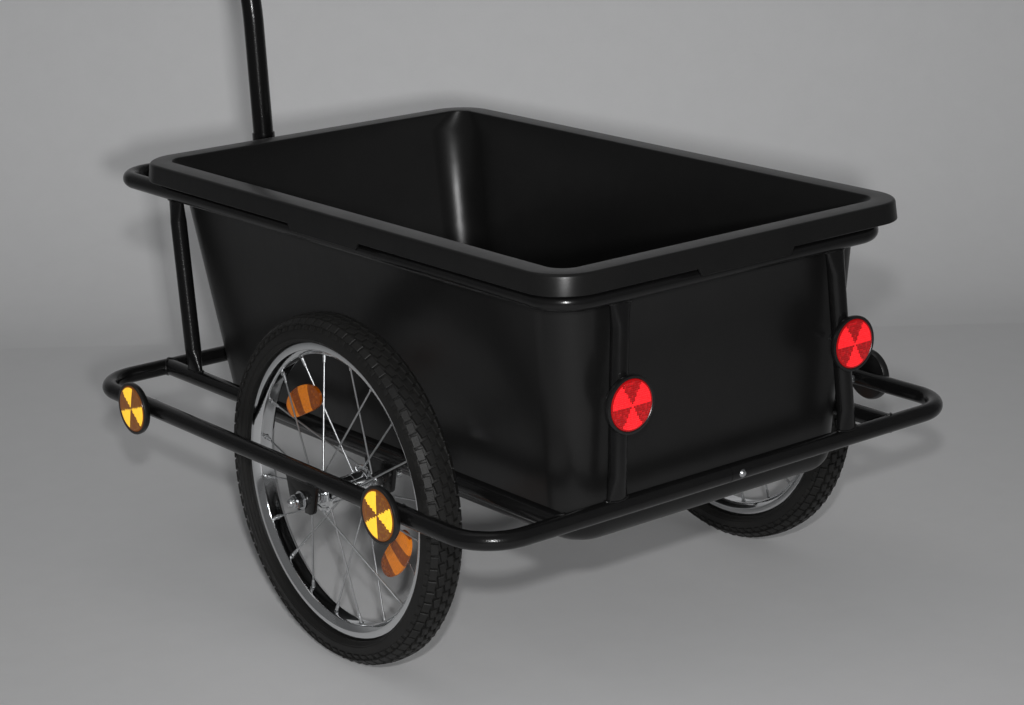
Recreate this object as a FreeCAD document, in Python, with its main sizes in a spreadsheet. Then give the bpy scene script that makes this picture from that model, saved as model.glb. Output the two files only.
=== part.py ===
import FreeCAD, Part

import math
import os
import re

import Sketcher

# Convertible cargo trailer: an open plastic tub hung in a tubular frame on two laced
# wheels, with a lift-out drawbar that ends in a seat post coupling.
# Lengths are in millimetres. +X is forward, +Y is left and +Z is up. The origin lies
# on the floor, below the middle of the whole length.

Vector = FreeCAD.Vector
Rotation = FreeCAD.Rotation
Placement = FreeCAD.Placement

# Reaches are measured forward or back from the wheel axle, heights from the floor,
# half widths from the middle of the trailer.
SIZES = {
    # frame tubes
    "tube_radius": 9.525,
    "tube_wall": 1.5,
    "lower_ring_height": 220.6,
    "lower_ring_rear_reach": 306.8,
    "lower_ring_front_reach": 435.3,
    "lower_ring_half_width": 330.5,
    "lower_ring_corner": 50.0,
    "ring_seam_offset": 14.0,
    "rail_half_width": 230.5,
    "upper_ring_height": 436.8,
    "upper_ring_rear_reach": 300.3,
    "upper_ring_overhang": 100.2,
    "upper_ring_half_width": 224.0,
    "upper_ring_corner": 38.0,
    # inner sleeves and screws that join the two halves of the lower ring
    "sleeve_wall": 1.6,
    "sleeve_fit": 0.1,
    "sleeve_half_length": 34.0,
    "ring_screw_radius": 2.5,
    "ring_screw_head_radius": 4.6,
    "ring_screw_head_height": 2.8,
    "ring_nut_radius": 4.6,
    "ring_nut_height": 4.0,
    "screw_fit": 0.1,
    # posts with flattened ends
    "front_foot_setback": 62.9,
    "front_head_setback": 130.3,
    "rear_foot_half_width": 162.8,
    "rear_head_half_width": 147.7,
    "post_flat_half_width": 14.2,
    "post_flat_half_depth": 4.6,
    "post_flat_length": 24.0,
    # plates that hold the axles
    "plate_thickness": 5.0,
    "plate_top_half_width": 30.0,
    "plate_bottom_half_width": 20.0,
    "plate_below_axle": 13.0,
    "plate_corner": 8.0,
    "axle_radius": 4.75,
    "axle_slot_fit": 0.25,
    "axle_outer_reach": 67.0,
    "axle_inner_reach": 74.5,
    # wheels
    "tyre_radius": 190.0,
    "tyre_half_width": 21.5,
    "tyre_crown_half_width": 10.0,
    "tyre_shoulder_half_width": 20.2,
    "tyre_shoulder_drop": 8.5,
    "tyre_side_drop": 20.0,
    "tyre_wall": 3.4,
    "rim_radius": 160.5,
    "rim_half_width": 14.0,
    "rim_wall": 1.6,
    "rim_side_height": 8.0,
    "rim_depth": 14.0,
    "rim_base_half_width": 8.0,
    "bead_height": 5.0,
    "bead_width": 3.0,
    "bead_fit": 0.3,
    "valve_radius": 3.2,
    "valve_length": 26.0,
    "hub_flange_radius": 20.0,
    "hub_flange_half_span": 28.5,
    "hub_flange_thickness": 3.0,
    "hub_flange_taper": 1.0,
    "hub_barrel_radius": 13.0,
    "hub_hole_radius": 17.0,
    "bearing_radius": 8.95,
    "bearing_fit": 0.05,
    "spoke_radius": 1.0,
    "spoke_fit": 0.15,
    "nipple_half_width": 1.75,
    "nipple_length": 10.0,
    "nipple_seat": 0.5,
    # nuts, cones and washers on the axles
    "cone_inner_end": 18.0,
    "cone_outer_end": 38.0,
    "locknut_radius": 8.6,
    "washer_radius": 10.0,
    "washer_thickness": 1.6,
    "axle_nut_radius": 8.6,
    "axle_nut_height": 7.5,
    "cap_height": 8.5,
    "cap_radius": 6.4,
    "thread_fit": 0.05,
    # tub
    "tub_floor_height": 171.7,
    "tub_floor_rear_reach": 275.0,
    "tub_floor_front_setback": 61.0,
    "tub_floor_half_width": 190.2,
    "tub_floor_corner": 42.0,
    "tub_floor_edge": 22.0,
    "tub_neck_rear_reach": 290.5,
    "tub_neck_front_setback": 26.0,
    "tub_neck_half_width": 210.6,
    "tub_neck_corner": 46.0,
    "tub_wall": 3.5,
    "rim_top_rise": 34.7,
    "rim_rear_reach": 324.7,
    "rim_front_setback": 75.0,
    "rim_outer_half_width": 245.1,
    "rim_corner": 48.0,
    "rim_band_width": 26.6,
    "rim_skirt_depth": 21.5,
    "rim_skirt_wall": 3.0,
    "rim_edge": 3.5,
    "lip_half_length": 61.0,
    "lip_depth": 8.0,
    "rest_rib_half_thickness": 2.0,
    "rest_rib_spacing": 210.0,
    "rest_fit": 0.3,
    # reflectors
    "housing_radius": 30.0,
    "housing_depth": 9.0,
    "housing_boss_radius": 7.0,
    "housing_boss_height": 1.5,
    "lens_radius": 26.5,
    "lens_depth": 3.5,
    "lens_crown": 0.6,
    "lens_fit": 0.15,
    "stud_radius": 2.5,
    "stud_depth": 5.0,
    "stud_nut_radius": 4.6,
    "stud_nut_height": 4.0,
    "stud_tail": 1.5,
    "post_lean_fit": 0.25,
    "side_front_setback": 119.3,
    "side_rear_reach": 163.0,
    "rear_reflector_height": 329.0,
    "spoke_reflector_inner_radius": 92.0,
    "spoke_reflector_outer_radius": 122.0,
    "spoke_reflector_half_thickness": 2.8,
    # drawbar and its socket
    "drawbar_radius": 12.7,
    "drawbar_wall": 2.0,
    "socket_wall": 1.5,
    "socket_fit": 0.1,
    "socket_top_height": 455.0,
    "socket_bottom_height": 205.0,
    "socket_stop_height": 3.0,
    "socket_stop_radius": 9.0,
    "drawbar_seat": 0.3,
    "drawbar_straight": 385.0,
    "drawbar_bend_radius": 235.0,
    "drawbar_run_length": 270.0,
    "drawbar_lift": 250.0,
    "strut_plug_length": 12.0,
    "knob_height": 330.0,
    "knob_screw_radius": 4.0,
    "knob_screw_fit": 0.05,
    "knob_boss_radius": 8.0,
    "knob_boss_reach": 26.0,
    "knob_gap": 1.5,
    "knob_tip_gap": 1.2,
    "knob_radius": 19.0,
    "knob_thickness": 13.0,
    "knob_notch_radius": 6.0,
    "grip_wall": 4.5,
    "grip_length": 120.0,
    "grip_start": 35.0,
    # coupling
    "plug_length": 30.0,
    "plug_fit": 0.1,
    "fork_base_thickness": 5.0,
    "fork_base_radius": 15.0,
    "cheek_thickness": 4.0,
    "cheek_half_height": 11.0,
    "cheek_reach": 20.0,
    "hitch_half_width": 8.0,
    "hitch_half_height": 8.0,
    "side_fit": 0.4,
    "pitch_pin_radius": 4.0,
    "pin_fit": 0.05,
    "pin_head_radius": 7.0,
    "pin_head_height": 3.5,
    "hitch_length": 34.0,
    "yaw_pin_radius": 4.0,
    "lug_thickness": 5.0,
    "lug_radius": 10.5,
    "seat_post_radius": 14.3,
    "clamp_wall": 5.5,
    "clamp_half_height": 15.0,
    "clamp_reach": 40.0,
    "clamp_split": 1.0,
    "clamp_ear_length": 14.0,
    "clamp_ear_depth": 7.0,
    "clamp_screw_radius": 3.0,
    "clamp_head_radius": 5.2,
    "clamp_head_height": 5.0,
    # how far every cutting shape runs past what it cuts
    "overrun": 5.0,
}

# Angles in degrees and counts
drawbar_lean = 3.63
drawbar_bend = 84.0
spoke_count = 20
spoke_reflector_span = 38.0
spoke_reflector_angles = (51.0, -153.0)
spoke_reflector_turn = 13.0
valve_angle = 0.0
knob_notches = 6
first_rim_hole = 9.0

doc = FreeCAD.newDocument("CargoTrailer")
sheet = doc.addObject("Spreadsheet::Sheet", "Sizes")
values = {}


def store(name, value):
    """Writes one size to the sheet under its own name."""
    values[name] = float(value)
    row = len(values)
    sheet.set("A%d" % row, name)
    sheet.set("B%d" % row, repr(float(value)))
    sheet.setAlias("B%d" % row, name)
    return float(value)


for size_name, size_value in SIZES.items():
    store(size_name, size_value)


class Named:
    """Reads a size by its name."""

    def __getattr__(self, name):
        return values[name]


size = Named()
lean = math.radians(drawbar_lean)
bend_end = math.radians(drawbar_lean + drawbar_bend)

# Sizes that follow from others
store("upper_ring_front_reach", size.lower_ring_front_reach + size.upper_ring_overhang)
store("front_foot_reach", size.lower_ring_front_reach - size.front_foot_setback)
store("front_head_reach", size.upper_ring_front_reach - size.front_head_setback)
store("side_front_reach", size.lower_ring_front_reach - size.side_front_setback)
store("tub_floor_front_reach", size.lower_ring_front_reach - size.tub_floor_front_setback)
store("rim_front_reach", size.upper_ring_front_reach - size.rim_front_setback)
store("tub_neck_front_reach", size.rim_front_reach - size.tub_neck_front_setback)
store("rim_top_height", size.upper_ring_height + size.rim_top_rise)
store("tube_bore", size.tube_radius - size.tube_wall)
store("wheel_half_width", (size.rail_half_width + size.lower_ring_half_width) / 2)
store("track_half", (size.lower_ring_half_width - size.rail_half_width) / 2)
store("plate_inner_face", size.track_half - size.plate_thickness / 2)
store("plate_outer_face", size.track_half + size.plate_thickness / 2)
store("socket_bore", size.drawbar_radius + size.socket_fit)
store("socket_radius", size.socket_bore + size.socket_wall)
store("socket_length", (size.socket_top_height - size.socket_bottom_height) / math.cos(lean))
socket_reach_at_ring = size.upper_ring_front_reach + (
    size.tube_radius + size.socket_radius
) / math.cos(lean)


def socket_reach(height):
    """How far ahead of the axle the socket's centre line is at a height."""
    return socket_reach_at_ring + (height - size.upper_ring_height) * math.tan(lean)


def post_ends(family, hand):
    """Centres of the tubes that a post stands between, from the axle's middle."""
    if family == "front":
        foot = (size.front_foot_reach, size.rail_half_width)
        head = (size.front_head_reach, size.upper_ring_half_width)
    else:
        foot = (-size.lower_ring_rear_reach, size.rear_foot_half_width)
        head = (-size.upper_ring_rear_reach, size.rear_head_half_width)
    return (
        Vector(foot[0], hand * foot[1], size.lower_ring_height),
        Vector(head[0], hand * head[1], size.upper_ring_height),
    )


for family in ("front", "rear"):
    foot, head = post_ends(family, 1)
    store(family + "_post_length", (head - foot).Length)
post_share = (size.rear_reflector_height - size.lower_ring_height) / (
    size.upper_ring_height - size.lower_ring_height
)
store(
    "rear_reflector_post_reach",
    size.lower_ring_rear_reach
    + post_share * (size.upper_ring_rear_reach - size.lower_ring_rear_reach),
)
store(
    "rear_reflector_half_width",
    size.rear_foot_half_width
    + post_share * (size.rear_head_half_width - size.rear_foot_half_width),
)
store("reflector_stand", size.tube_radius + size.housing_boss_height)
store("reflector_face", size.reflector_stand + size.housing_depth + size.lens_crown)

# The drawbar's own corners, seen from the side
drawbar_foot_height = size.socket_bottom_height + (
    size.socket_stop_height + size.drawbar_seat
) * math.cos(lean)
drawbar_foot_reach = socket_reach(drawbar_foot_height)
along_socket = Vector(math.sin(lean), 0, math.cos(lean))
along_run = Vector(math.sin(bend_end), 0, math.cos(bend_end))
ahead_of_socket = Vector(math.cos(lean), 0, -math.sin(lean))
bend_tangent = size.drawbar_bend_radius * math.tan(math.radians(drawbar_bend) / 2)
bend_corner = (
    Vector(drawbar_foot_reach, 0, drawbar_foot_height)
    + along_socket * (size.drawbar_straight + bend_tangent)
)
run_start = bend_corner + along_run * bend_tangent
run_end = run_start + along_run * size.drawbar_run_length
pitch_point = run_end + along_run * (size.fork_base_thickness + size.cheek_reach)
yaw_point = pitch_point + Vector(size.hitch_length, 0, 0)
clamp_point = yaw_point + Vector(size.clamp_reach, 0, 0)

store("clamp_radius", size.seat_post_radius + size.clamp_wall)
front_overhang = clamp_point.x + size.clamp_radius
rear_overhang = max(
    size.rim_rear_reach,
    size.rear_reflector_post_reach + size.post_lean_fit + size.reflector_face,
)
store("axle_place", (rear_overhang - front_overhang) / 2)
store(
    "cap_start", size.plate_outer_face + size.washer_thickness + size.axle_nut_height
)
# how much the inner side of the rim leans in per millimetre towards the hub
store(
    "side_slope",
    (size.rim_half_width - size.rim_base_half_width) / (size.rim_depth - size.rim_wall),
)
socket_foot = Vector(socket_reach(size.socket_bottom_height), 0, size.socket_bottom_height)
knob_point = Vector(socket_reach(size.knob_height), 0, size.knob_height)
drawbar_foot = Vector(drawbar_foot_reach, 0, drawbar_foot_height)
store("knob_along", (knob_point - socket_foot).dot(along_socket))
store("knob_notch_reach", size.knob_radius + size.knob_notch_radius / 2)
store("strut_span", socket_reach(size.lower_ring_height) - size.lower_ring_front_reach)
store("strut_socket_place", size.strut_span * math.cos(lean))
store("drawbar_corner_forward", (bend_corner - drawbar_foot).x)
store("drawbar_corner_up", (bend_corner - drawbar_foot).z)
store("drawbar_end_forward", (run_end - drawbar_foot).x)
store("drawbar_end_up", (run_end - drawbar_foot).z)
store("fork_inner", size.hitch_half_width + size.side_fit)
store("fork_half_width", size.fork_inner + size.cheek_thickness)
store("lug_inner", size.hitch_half_height + size.side_fit)
store("lug_outer", size.lug_inner + size.lug_thickness)


def spoke_ends(index):
    """Hub and rim end of a spoke, from the middle of its wheel.

    Every rim hole feeds the two flanges in turn. On one flange the spokes lean
    forward and back in turn by one hub hole, so that each crosses its neighbour
    once, and they pass on the two faces of the flange.
    """
    step = 360.0 / spoke_count
    flange = 1 if index % 2 == 0 else -1
    trailing = (index // 2) % 2 == 1
    rim_angle = math.radians(first_rim_hole + index * step)
    hub_angle = rim_angle + math.radians(-2 * step if trailing else 2 * step)
    clear = size.spoke_radius + size.spoke_fit
    face = size.hub_flange_half_span + clear
    if trailing:
        face -= size.hub_flange_thickness + 2 * clear
    start = Vector(
        size.hub_hole_radius * math.cos(hub_angle),
        flange * face,
        size.hub_hole_radius * math.sin(hub_angle),
    )
    rim_face = size.rim_radius - size.rim_depth - size.nipple_seat
    end = Vector(rim_face * math.cos(rim_angle), 0, rim_face * math.sin(rim_angle))
    return start, end, "trailing" if trailing else "leading"


for place in (0, 2):
    start, end, kind = spoke_ends(place)
    store(kind + "_spoke_length", (end - start).Length - size.nipple_length)
doc.recompute()

ALIAS = re.compile(r"\b[a-z][a-z_]+\b")


def full(text):
    """Turns size names in a formula into references to the sheet."""
    return ALIAS.sub(lambda found: "Sizes." + found.group(0), text)


def bind(thing, path, text):
    thing.setExpression(path, full(text))


def origin_plane(body, role):
    return next(item for item in body.Origin.OriginFeatures if item.Role == role)


def new_body(label):
    body = doc.addObject("PartDesign::Body", label)
    body.Label = label
    return body


def new_sketch(body, name, role, height="0", turn=None):
    """A sketch on one of the body's own planes, raised by a formula."""
    sketch = body.newObject("Sketcher::SketchObject", name)
    sketch.AttachmentSupport = (origin_plane(body, role), [""])
    sketch.MapMode = "FlatFace"
    if turn is not None:
        sketch.AttachmentOffset = Placement(Vector(), turn)
    if height != "0":
        bind(sketch, "AttachmentOffset.Base.z", height)
    return sketch


def worth(sketch, text):
    return float(sketch.evalExpression(full(text)))


def fix_point(sketch, geometry, position, x, y):
    """Ties a point to two formulas, or to an axis where a formula is 0."""
    for kind, text, axis in (("DistanceX", x, -2), ("DistanceY", y, -1)):
        if text == "0":
            sketch.addConstraint(
                Sketcher.Constraint("PointOnObject", geometry, position, axis)
            )
            continue
        index = sketch.addConstraint(
            Sketcher.Constraint(kind, -1, 1, geometry, position, worth(sketch, text))
        )
        bind(sketch, "Constraints[%d]" % index, text)


def fix_radius(sketch, geometry, radius):
    index = sketch.addConstraint(
        Sketcher.Constraint("Radius", geometry, worth(sketch, radius))
    )
    bind(sketch, "Constraints[%d]" % index, radius)


def draw_circle(sketch, x, y, radius):
    centre = Vector(worth(sketch, x), worth(sketch, y), 0)
    circle = Part.Circle(centre, Vector(0, 0, 1), worth(sketch, radius))
    geometry = sketch.addGeometry(circle, False)
    fix_radius(sketch, geometry, radius)
    fix_point(sketch, geometry, 3, x, y)


def draw_ellipse(sketch, x, y, major, minor):
    """An ellipse whose long axis lies along the sketch's X."""
    centre = Vector(worth(sketch, x), worth(sketch, y), 0)
    tip = centre + Vector(worth(sketch, major), 0, 0)
    side = centre + Vector(0, worth(sketch, minor), 0)
    geometry = sketch.addGeometry(Part.Ellipse(tip, side, centre), False)
    sketch.exposeInternalGeometry(geometry)
    fix_point(sketch, geometry, 3, x, y)
    long_line = geometry + 1
    short_line = geometry + 2
    sketch.addConstraint(Sketcher.Constraint("Horizontal", long_line))
    for line, half in ((long_line, major), (short_line, minor)):
        index = sketch.addConstraint(
            Sketcher.Constraint("Distance", line, 2 * worth(sketch, half))
        )
        bind(sketch, "Constraints[%d]" % index, "2 * (%s)" % half)


def draw_outline(sketch, corners, closed=True):
    """Straight lines through the corners; a corner with a radius is rounded."""
    points = [Vector(worth(sketch, c[0]), worth(sketch, c[1]), 0) for c in corners]
    count = len(points)
    cuts = []
    for place, corner in enumerate(corners):
        if len(corner) < 3:
            cuts.append((points[place], points[place], None))
            continue
        radius = worth(sketch, corner[2])
        back = (points[place - 1] - points[place]).normalize()
        ahead = (points[(place + 1) % count] - points[place]).normalize()
        half = back.getAngle(ahead) / 2
        tangent = radius / math.tan(half)
        middle = (back + ahead).normalize()
        centre = points[place] + middle * (radius / math.sin(half))
        cuts.append(
            (points[place] + back * tangent, points[place] + ahead * tangent, centre)
        )
    lines = []
    for place in range(count if closed else count - 1):
        segment = Part.LineSegment(cuts[place][1], cuts[(place + 1) % count][0])
        lines.append(sketch.addGeometry(segment, False))
    for place, corner in enumerate(corners):
        before = lines[place - 1] if closed or place else None
        after = lines[place] if place < len(lines) else None
        start, end, centre = cuts[place]
        if centre is None:
            if before is not None and after is not None:
                sketch.addConstraint(
                    Sketcher.Constraint("Coincident", before, 2, after, 1)
                )
            if after is not None:
                fix_point(sketch, after, 1, corner[0], corner[1])
            else:
                fix_point(sketch, before, 2, corner[0], corner[1])
            continue
        first = start - centre
        second = end - centre
        left_turn = first.cross(second).z > 0
        angles = [math.atan2(first.y, first.x), math.atan2(second.y, second.x)]
        if not left_turn:
            angles.reverse()
        if angles[1] < angles[0]:
            angles[1] += 2 * math.pi
        circle = Part.Circle(centre, Vector(0, 0, 1), first.Length)
        arc = sketch.addGeometry(Part.ArcOfCircle(circle, *angles), False)
        begin, finish = (1, 2) if left_turn else (2, 1)
        sketch.addConstraint(Sketcher.Constraint("Tangent", before, 2, arc, begin))
        sketch.addConstraint(Sketcher.Constraint("Tangent", after, 1, arc, finish))
        fix_radius(sketch, arc, corner[2])
        vertex = sketch.addGeometry(Part.Point(points[place]), True)
        sketch.addConstraint(Sketcher.Constraint("PointOnObject", vertex, 1, before))
        sketch.addConstraint(Sketcher.Constraint("PointOnObject", vertex, 1, after))
        fix_point(sketch, vertex, 1, corner[0], corner[1])


def draw_rectangle(sketch, left, right, low, high, corner=None):
    corners = [(left, low), (right, low), (right, high), (left, high)]
    if corner:
        corners = [(x, y, corner) for x, y in corners]
    draw_outline(sketch, corners)


def pad(body, sketch, length, both_ways=False):
    feature = body.newObject("PartDesign::Pad", sketch.Name + "_pad")
    feature.Profile = sketch
    if both_ways:
        feature.SideType = "Symmetric"
    bind(feature, "Length", length)
    body.Tip = feature
    return feature


def pocket(body, sketch, length, both_ways=True, flip=False):
    """Cuts a sketch into the body and makes sure that it took something away."""
    doc.recompute()
    before = body.Shape.Volume
    feature = body.newObject("PartDesign::Pocket", sketch.Name + "_cut")
    feature.Profile = sketch
    if both_ways:
        feature.SideType = "Symmetric"
    feature.Reversed = flip
    bind(feature, "Length", length)
    body.Tip = feature
    doc.recompute()
    if not body.Shape.Volume < before:
        states = ["%s %s" % (item.Name, item.State) for item in body.Group]
        raise RuntimeError("%s cuts nothing: %s" % (feature.Name, states))
    return feature


def loft(body, sketches, cut=False):
    kind = "PartDesign::SubtractiveLoft" if cut else "PartDesign::AdditiveLoft"
    feature = body.newObject(kind, sketches[0].Name + "_loft")
    feature.Profile = (sketches[0], [""])
    feature.Sections = [(sketch, [""]) for sketch in sketches[1:]]
    feature.Ruled = True
    body.Tip = feature
    return feature


def revolve(body, sketch, axis="V_Axis"):
    feature = body.newObject("PartDesign::Revolution", sketch.Name + "_turn")
    feature.Profile = (sketch, [""])
    feature.ReferenceAxis = (sketch, [axis])
    feature.Angle = 360
    body.Tip = feature
    return feature


def pipe(body, section, path):
    feature = body.newObject("PartDesign::AdditivePipe", section.Name + "_pipe")
    feature.Profile = (section, [""])
    feature.Spine = (path, [""])
    feature.Mode = "Frenet"
    body.Tip = feature
    return feature


def seat(thing, x="0", y="0", z="0", turn=None):
    """Puts a piece in the trailer: x from the axle, y from the middle, z from the floor."""
    if turn is not None:
        thing.Placement = Placement(Vector(), turn)
    bind(thing, "Placement.Base.x", "axle_place + (%s)" % x)
    for axis, text in (("y", y), ("z", z)):
        if text != "0":
            bind(thing, "Placement.Base." + axis, text)
    return thing


def seat_point(thing, point, turn=None):
    """Puts a piece at a point that was worked out from the sizes."""
    if turn is None:
        turn = Rotation()
    thing.Placement = Placement(point + Vector(size.axle_place, 0, 0), turn)
    return thing


def group(label, pieces):
    compound = doc.addObject("Part::Compound", label)
    compound.Label = label
    compound.Links = pieces
    return compound


def cylinder(name, radius, height):
    solid = doc.addObject("Part::Cylinder", name)
    bind(solid, "Radius", radius)
    bind(solid, "Height", height)
    return solid


def cut(name, base, tool):
    result = doc.addObject("Part::Cut", name)
    result.Label = name
    result.Base = base
    result.Tool = tool
    return result


def bored(name, radius, bore, height):
    """A round piece with a hole along its axis, from its own origin along Z."""
    hole = cylinder(name + "_bore", bore, "(%s) + 2 * overrun" % height)
    bind(hole, "Placement.Base.z", "-overrun")
    return cut(name, cylinder(name + "_round", radius, height), hole)


def hex_nut(name, radius, bore, height):
    """A six-sided nut; the radius is across its corners."""
    block = doc.addObject("Part::Prism", name + "_hexagon")
    block.Polygon = 6
    bind(block, "Circumradius", radius)
    bind(block, "Height", height)
    hole = cylinder(name + "_bore", bore, "(%s) + 2 * overrun" % height)
    bind(hole, "Placement.Base.z", "-overrun")
    return cut(name, block, hole)


ALONG_X = Rotation(Vector(0, 1, 0), 90)
AGAINST_X = Rotation(Vector(0, 1, 0), -90)
ALONG_Y = Rotation(Vector(1, 0, 0), -90)
AGAINST_Y = Rotation(Vector(1, 0, 0), 90)
SIDES = (("left", "", 1), ("right", "-", -1))
nodes = []

# Lower ring: two bent halves that meet on the left of the middle
for side, sign, hand in SIDES:
    label = "lower_ring_" + side
    body = new_body(label)
    path = new_sketch(body, label + "_path", "XY_Plane")
    wide = sign + "lower_ring_half_width"
    draw_outline(
        path,
        [
            ("-lower_ring_rear_reach", "ring_seam_offset"),
            ("-lower_ring_rear_reach", wide, "lower_ring_corner"),
            ("lower_ring_front_reach", wide, "lower_ring_corner"),
            ("lower_ring_front_reach", "ring_seam_offset"),
        ],
        closed=False,
    )
    section = new_sketch(body, label + "_section", "XZ_Plane", "-ring_seam_offset")
    for radius in ("tube_radius", "tube_bore"):
        draw_circle(section, "-lower_ring_rear_reach", "0", radius)
    pipe(body, section, path)
    studs = new_sketch(
        body, label + "_stud_holes", "XZ_Plane", "-(%slower_ring_half_width)" % sign
    )
    for reach in ("side_front_reach", "-side_rear_reach"):
        draw_circle(studs, reach, "0", "stud_radius + screw_fit")
    pocket(body, studs, "2 * (tube_radius + overrun)")
    if side == "right":
        screws = new_sketch(body, label + "_screw_holes", "YZ_Plane")
        draw_circle(screws, "0", "0", "ring_screw_radius + screw_fit")
        pocket(
            body,
            screws,
            "2 * (lower_ring_front_reach + lower_ring_rear_reach)",
        )
    seat(body, z="lower_ring_height")
    nodes.append(body)

# Sleeves inside the two seams
sleeves = []
for end, reach in (("rear", "-lower_ring_rear_reach"), ("front", "lower_ring_front_reach")):
    body = new_body("ring_sleeve_" + end)
    section = new_sketch(body, "sleeve_section_" + end, "XZ_Plane")
    draw_circle(section, "0", "0", "tube_bore - sleeve_fit")
    draw_circle(section, "0", "0", "tube_bore - sleeve_fit - sleeve_wall")
    pad(body, section, "2 * sleeve_half_length", both_ways=True)
    hole = new_sketch(body, "sleeve_hole_" + end, "YZ_Plane")
    draw_circle(hole, "-ring_seam_offset", "0", "ring_screw_radius + screw_fit")
    pocket(body, hole, "2 * (tube_radius + overrun)")
    seat(body, x=reach, y="ring_seam_offset", z="lower_ring_height")
    sleeves.append(body)
nodes.append(group("ring_joint_sleeves", sleeves))


def dome_screw(name, shank):
    """A dome-headed screw whose head sits at its origin and whose shank runs along X."""
    body = new_body(name)
    profile = new_sketch(body, name + "_profile", "XY_Plane")
    draw_outline(
        profile,
        [
            ("-ring_screw_head_height", "0"),
            (shank, "0"),
            (shank, "ring_screw_radius"),
            ("0", "ring_screw_radius"),
            ("0", "ring_screw_head_radius"),
            ("-ring_screw_head_height", "ring_screw_head_radius / 2"),
        ],
    )
    revolve(body, profile, "H_Axis")
    return body


rear_screw = dome_screw("ring_screw_rear", "2 * tube_radius + ring_nut_height + stud_tail")
seat(rear_screw, x="-lower_ring_rear_reach - tube_radius", z="lower_ring_height")
front_screw = dome_screw("ring_screw_front", "2 * tube_radius + strut_plug_length / 2")
seat(front_screw, x="lower_ring_front_reach - tube_radius", z="lower_ring_height")
rear_nut = hex_nut(
    "ring_nut_rear", "ring_nut_radius", "ring_screw_radius + thread_fit", "ring_nut_height"
)
seat(
    rear_nut,
    x="-lower_ring_rear_reach + tube_radius",
    z="lower_ring_height",
    turn=ALONG_X,
)
nodes.append(group("ring_joint_bolts", [rear_screw, front_screw, rear_nut]))

# Inner rails, their ends cut to the round of the ring
rails = []
for side, sign, hand in SIDES:
    body = new_body("inner_rail_" + side)
    section = new_sketch(body, "rail_section_" + side, "YZ_Plane", "-lower_ring_rear_reach")
    draw_circle(section, "0", "0", "tube_radius")
    draw_circle(section, "0", "0", "tube_bore")
    pad(body, section, "lower_ring_rear_reach + lower_ring_front_reach")
    for end, reach in (
        ("rear", "-lower_ring_rear_reach"),
        ("front", "lower_ring_front_reach"),
    ):
        saddle = new_sketch(body, "rail_saddle_%s_%s" % (end, side), "XZ_Plane")
        draw_circle(saddle, reach, "0", "tube_radius")
        pocket(body, saddle, "2 * (tube_radius + overrun)")
    seat(body, y=sign + "rail_half_width", z="lower_ring_height")
    rails.append(body)
nodes.append(group("inner_rails", rails))

# Upper ring: one closed loop
body = new_body("upper_ring")
path = new_sketch(body, "upper_ring_path", "XY_Plane")
draw_outline(
    path,
    [
        ("-upper_ring_rear_reach", "0"),
        ("-upper_ring_rear_reach", "-upper_ring_half_width", "upper_ring_corner"),
        ("upper_ring_front_reach", "-upper_ring_half_width", "upper_ring_corner"),
        ("upper_ring_front_reach", "upper_ring_half_width", "upper_ring_corner"),
        ("-upper_ring_rear_reach", "upper_ring_half_width", "upper_ring_corner"),
    ],
)
section = new_sketch(body, "upper_ring_section", "XZ_Plane")
for radius in ("tube_radius", "tube_bore"):
    draw_circle(section, "-upper_ring_rear_reach", "0", radius)
pipe(body, section, path)
seat(body, z="upper_ring_height")
nodes.append(body)


def post(name, foot, head, tube_way, length):
    """A leaning tube with flattened ends, between the centres of two tubes.

    tube_way is the direction of both of those tubes, which cut its ends to shape.
    """
    end_depth = "(tube_radius + post_flat_length)"
    body = new_body(name + "_tube")
    section = new_sketch(body, name + "_section", "XY_Plane", end_depth)
    for radius in ("tube_radius", "tube_bore"):
        draw_circle(section, "0", "0", radius)
    pad(body, section, "%s - 2 * %s" % (length, end_depth))
    ends = (
        ("foot", foot, "0", end_depth),
        ("head", head, length, "%s - %s" % (length, end_depth)),
    )
    for end, centre, flat_height, round_height in ends:
        for layer, inset in (("outer", "0"), ("inner", "tube_wall")):
            label = "%s_%s_%s" % (name, end, layer)
            flat = new_sketch(body, label + "_flat", "XY_Plane", flat_height)
            draw_ellipse(
                flat,
                "0",
                "0",
                "post_flat_half_width - (%s)" % inset,
                "post_flat_half_depth - (%s)" % inset,
            )
            full_round = new_sketch(body, label + "_round", "XY_Plane", round_height)
            draw_circle(full_round, "0", "0", "tube_radius - (%s)" % inset)
            loft(body, [flat, full_round], cut=layer == "inner")
    piece = seat_point(body, foot, Rotation(tube_way, Vector(), head - foot, "ZXY"))
    for end, centre, flat_height, round_height in ends:
        label = "%s_%s_saddle" % (name, end)
        saddle = cylinder(label + "_tool", "tube_radius", "4 * post_flat_half_width")
        start = centre - tube_way * (2 * size.post_flat_half_width)
        seat_point(saddle, start, Rotation(Vector(0, 0, 1), tube_way))
        piece = cut(label, piece, saddle)
    return piece


front_posts = []
rear_posts = []
for side, sign, hand in SIDES:
    foot, head = post_ends("front", hand)
    front_posts.append(
        post("post_front_" + side, foot, head, Vector(1, 0, 0), "front_post_length")
    )
    foot, head = post_ends("rear", hand)
    solid_post = post("post_rear_" + side, foot, head, Vector(0, 1, 0), "rear_post_length")
    stud_hole = cylinder("post_stud_" + side, "stud_radius + screw_fit", "4 * tube_radius")
    seat(
        stud_hole,
        x="-rear_reflector_post_reach - 2 * tube_radius",
        y=sign + "rear_reflector_half_width",
        z="rear_reflector_height",
        turn=ALONG_X,
    )
    rear_posts.append(cut("post_rear_drilled_" + side, solid_post, stud_hole))
nodes.append(group("front_posts", front_posts))
nodes.append(group("rear_posts", rear_posts))

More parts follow.
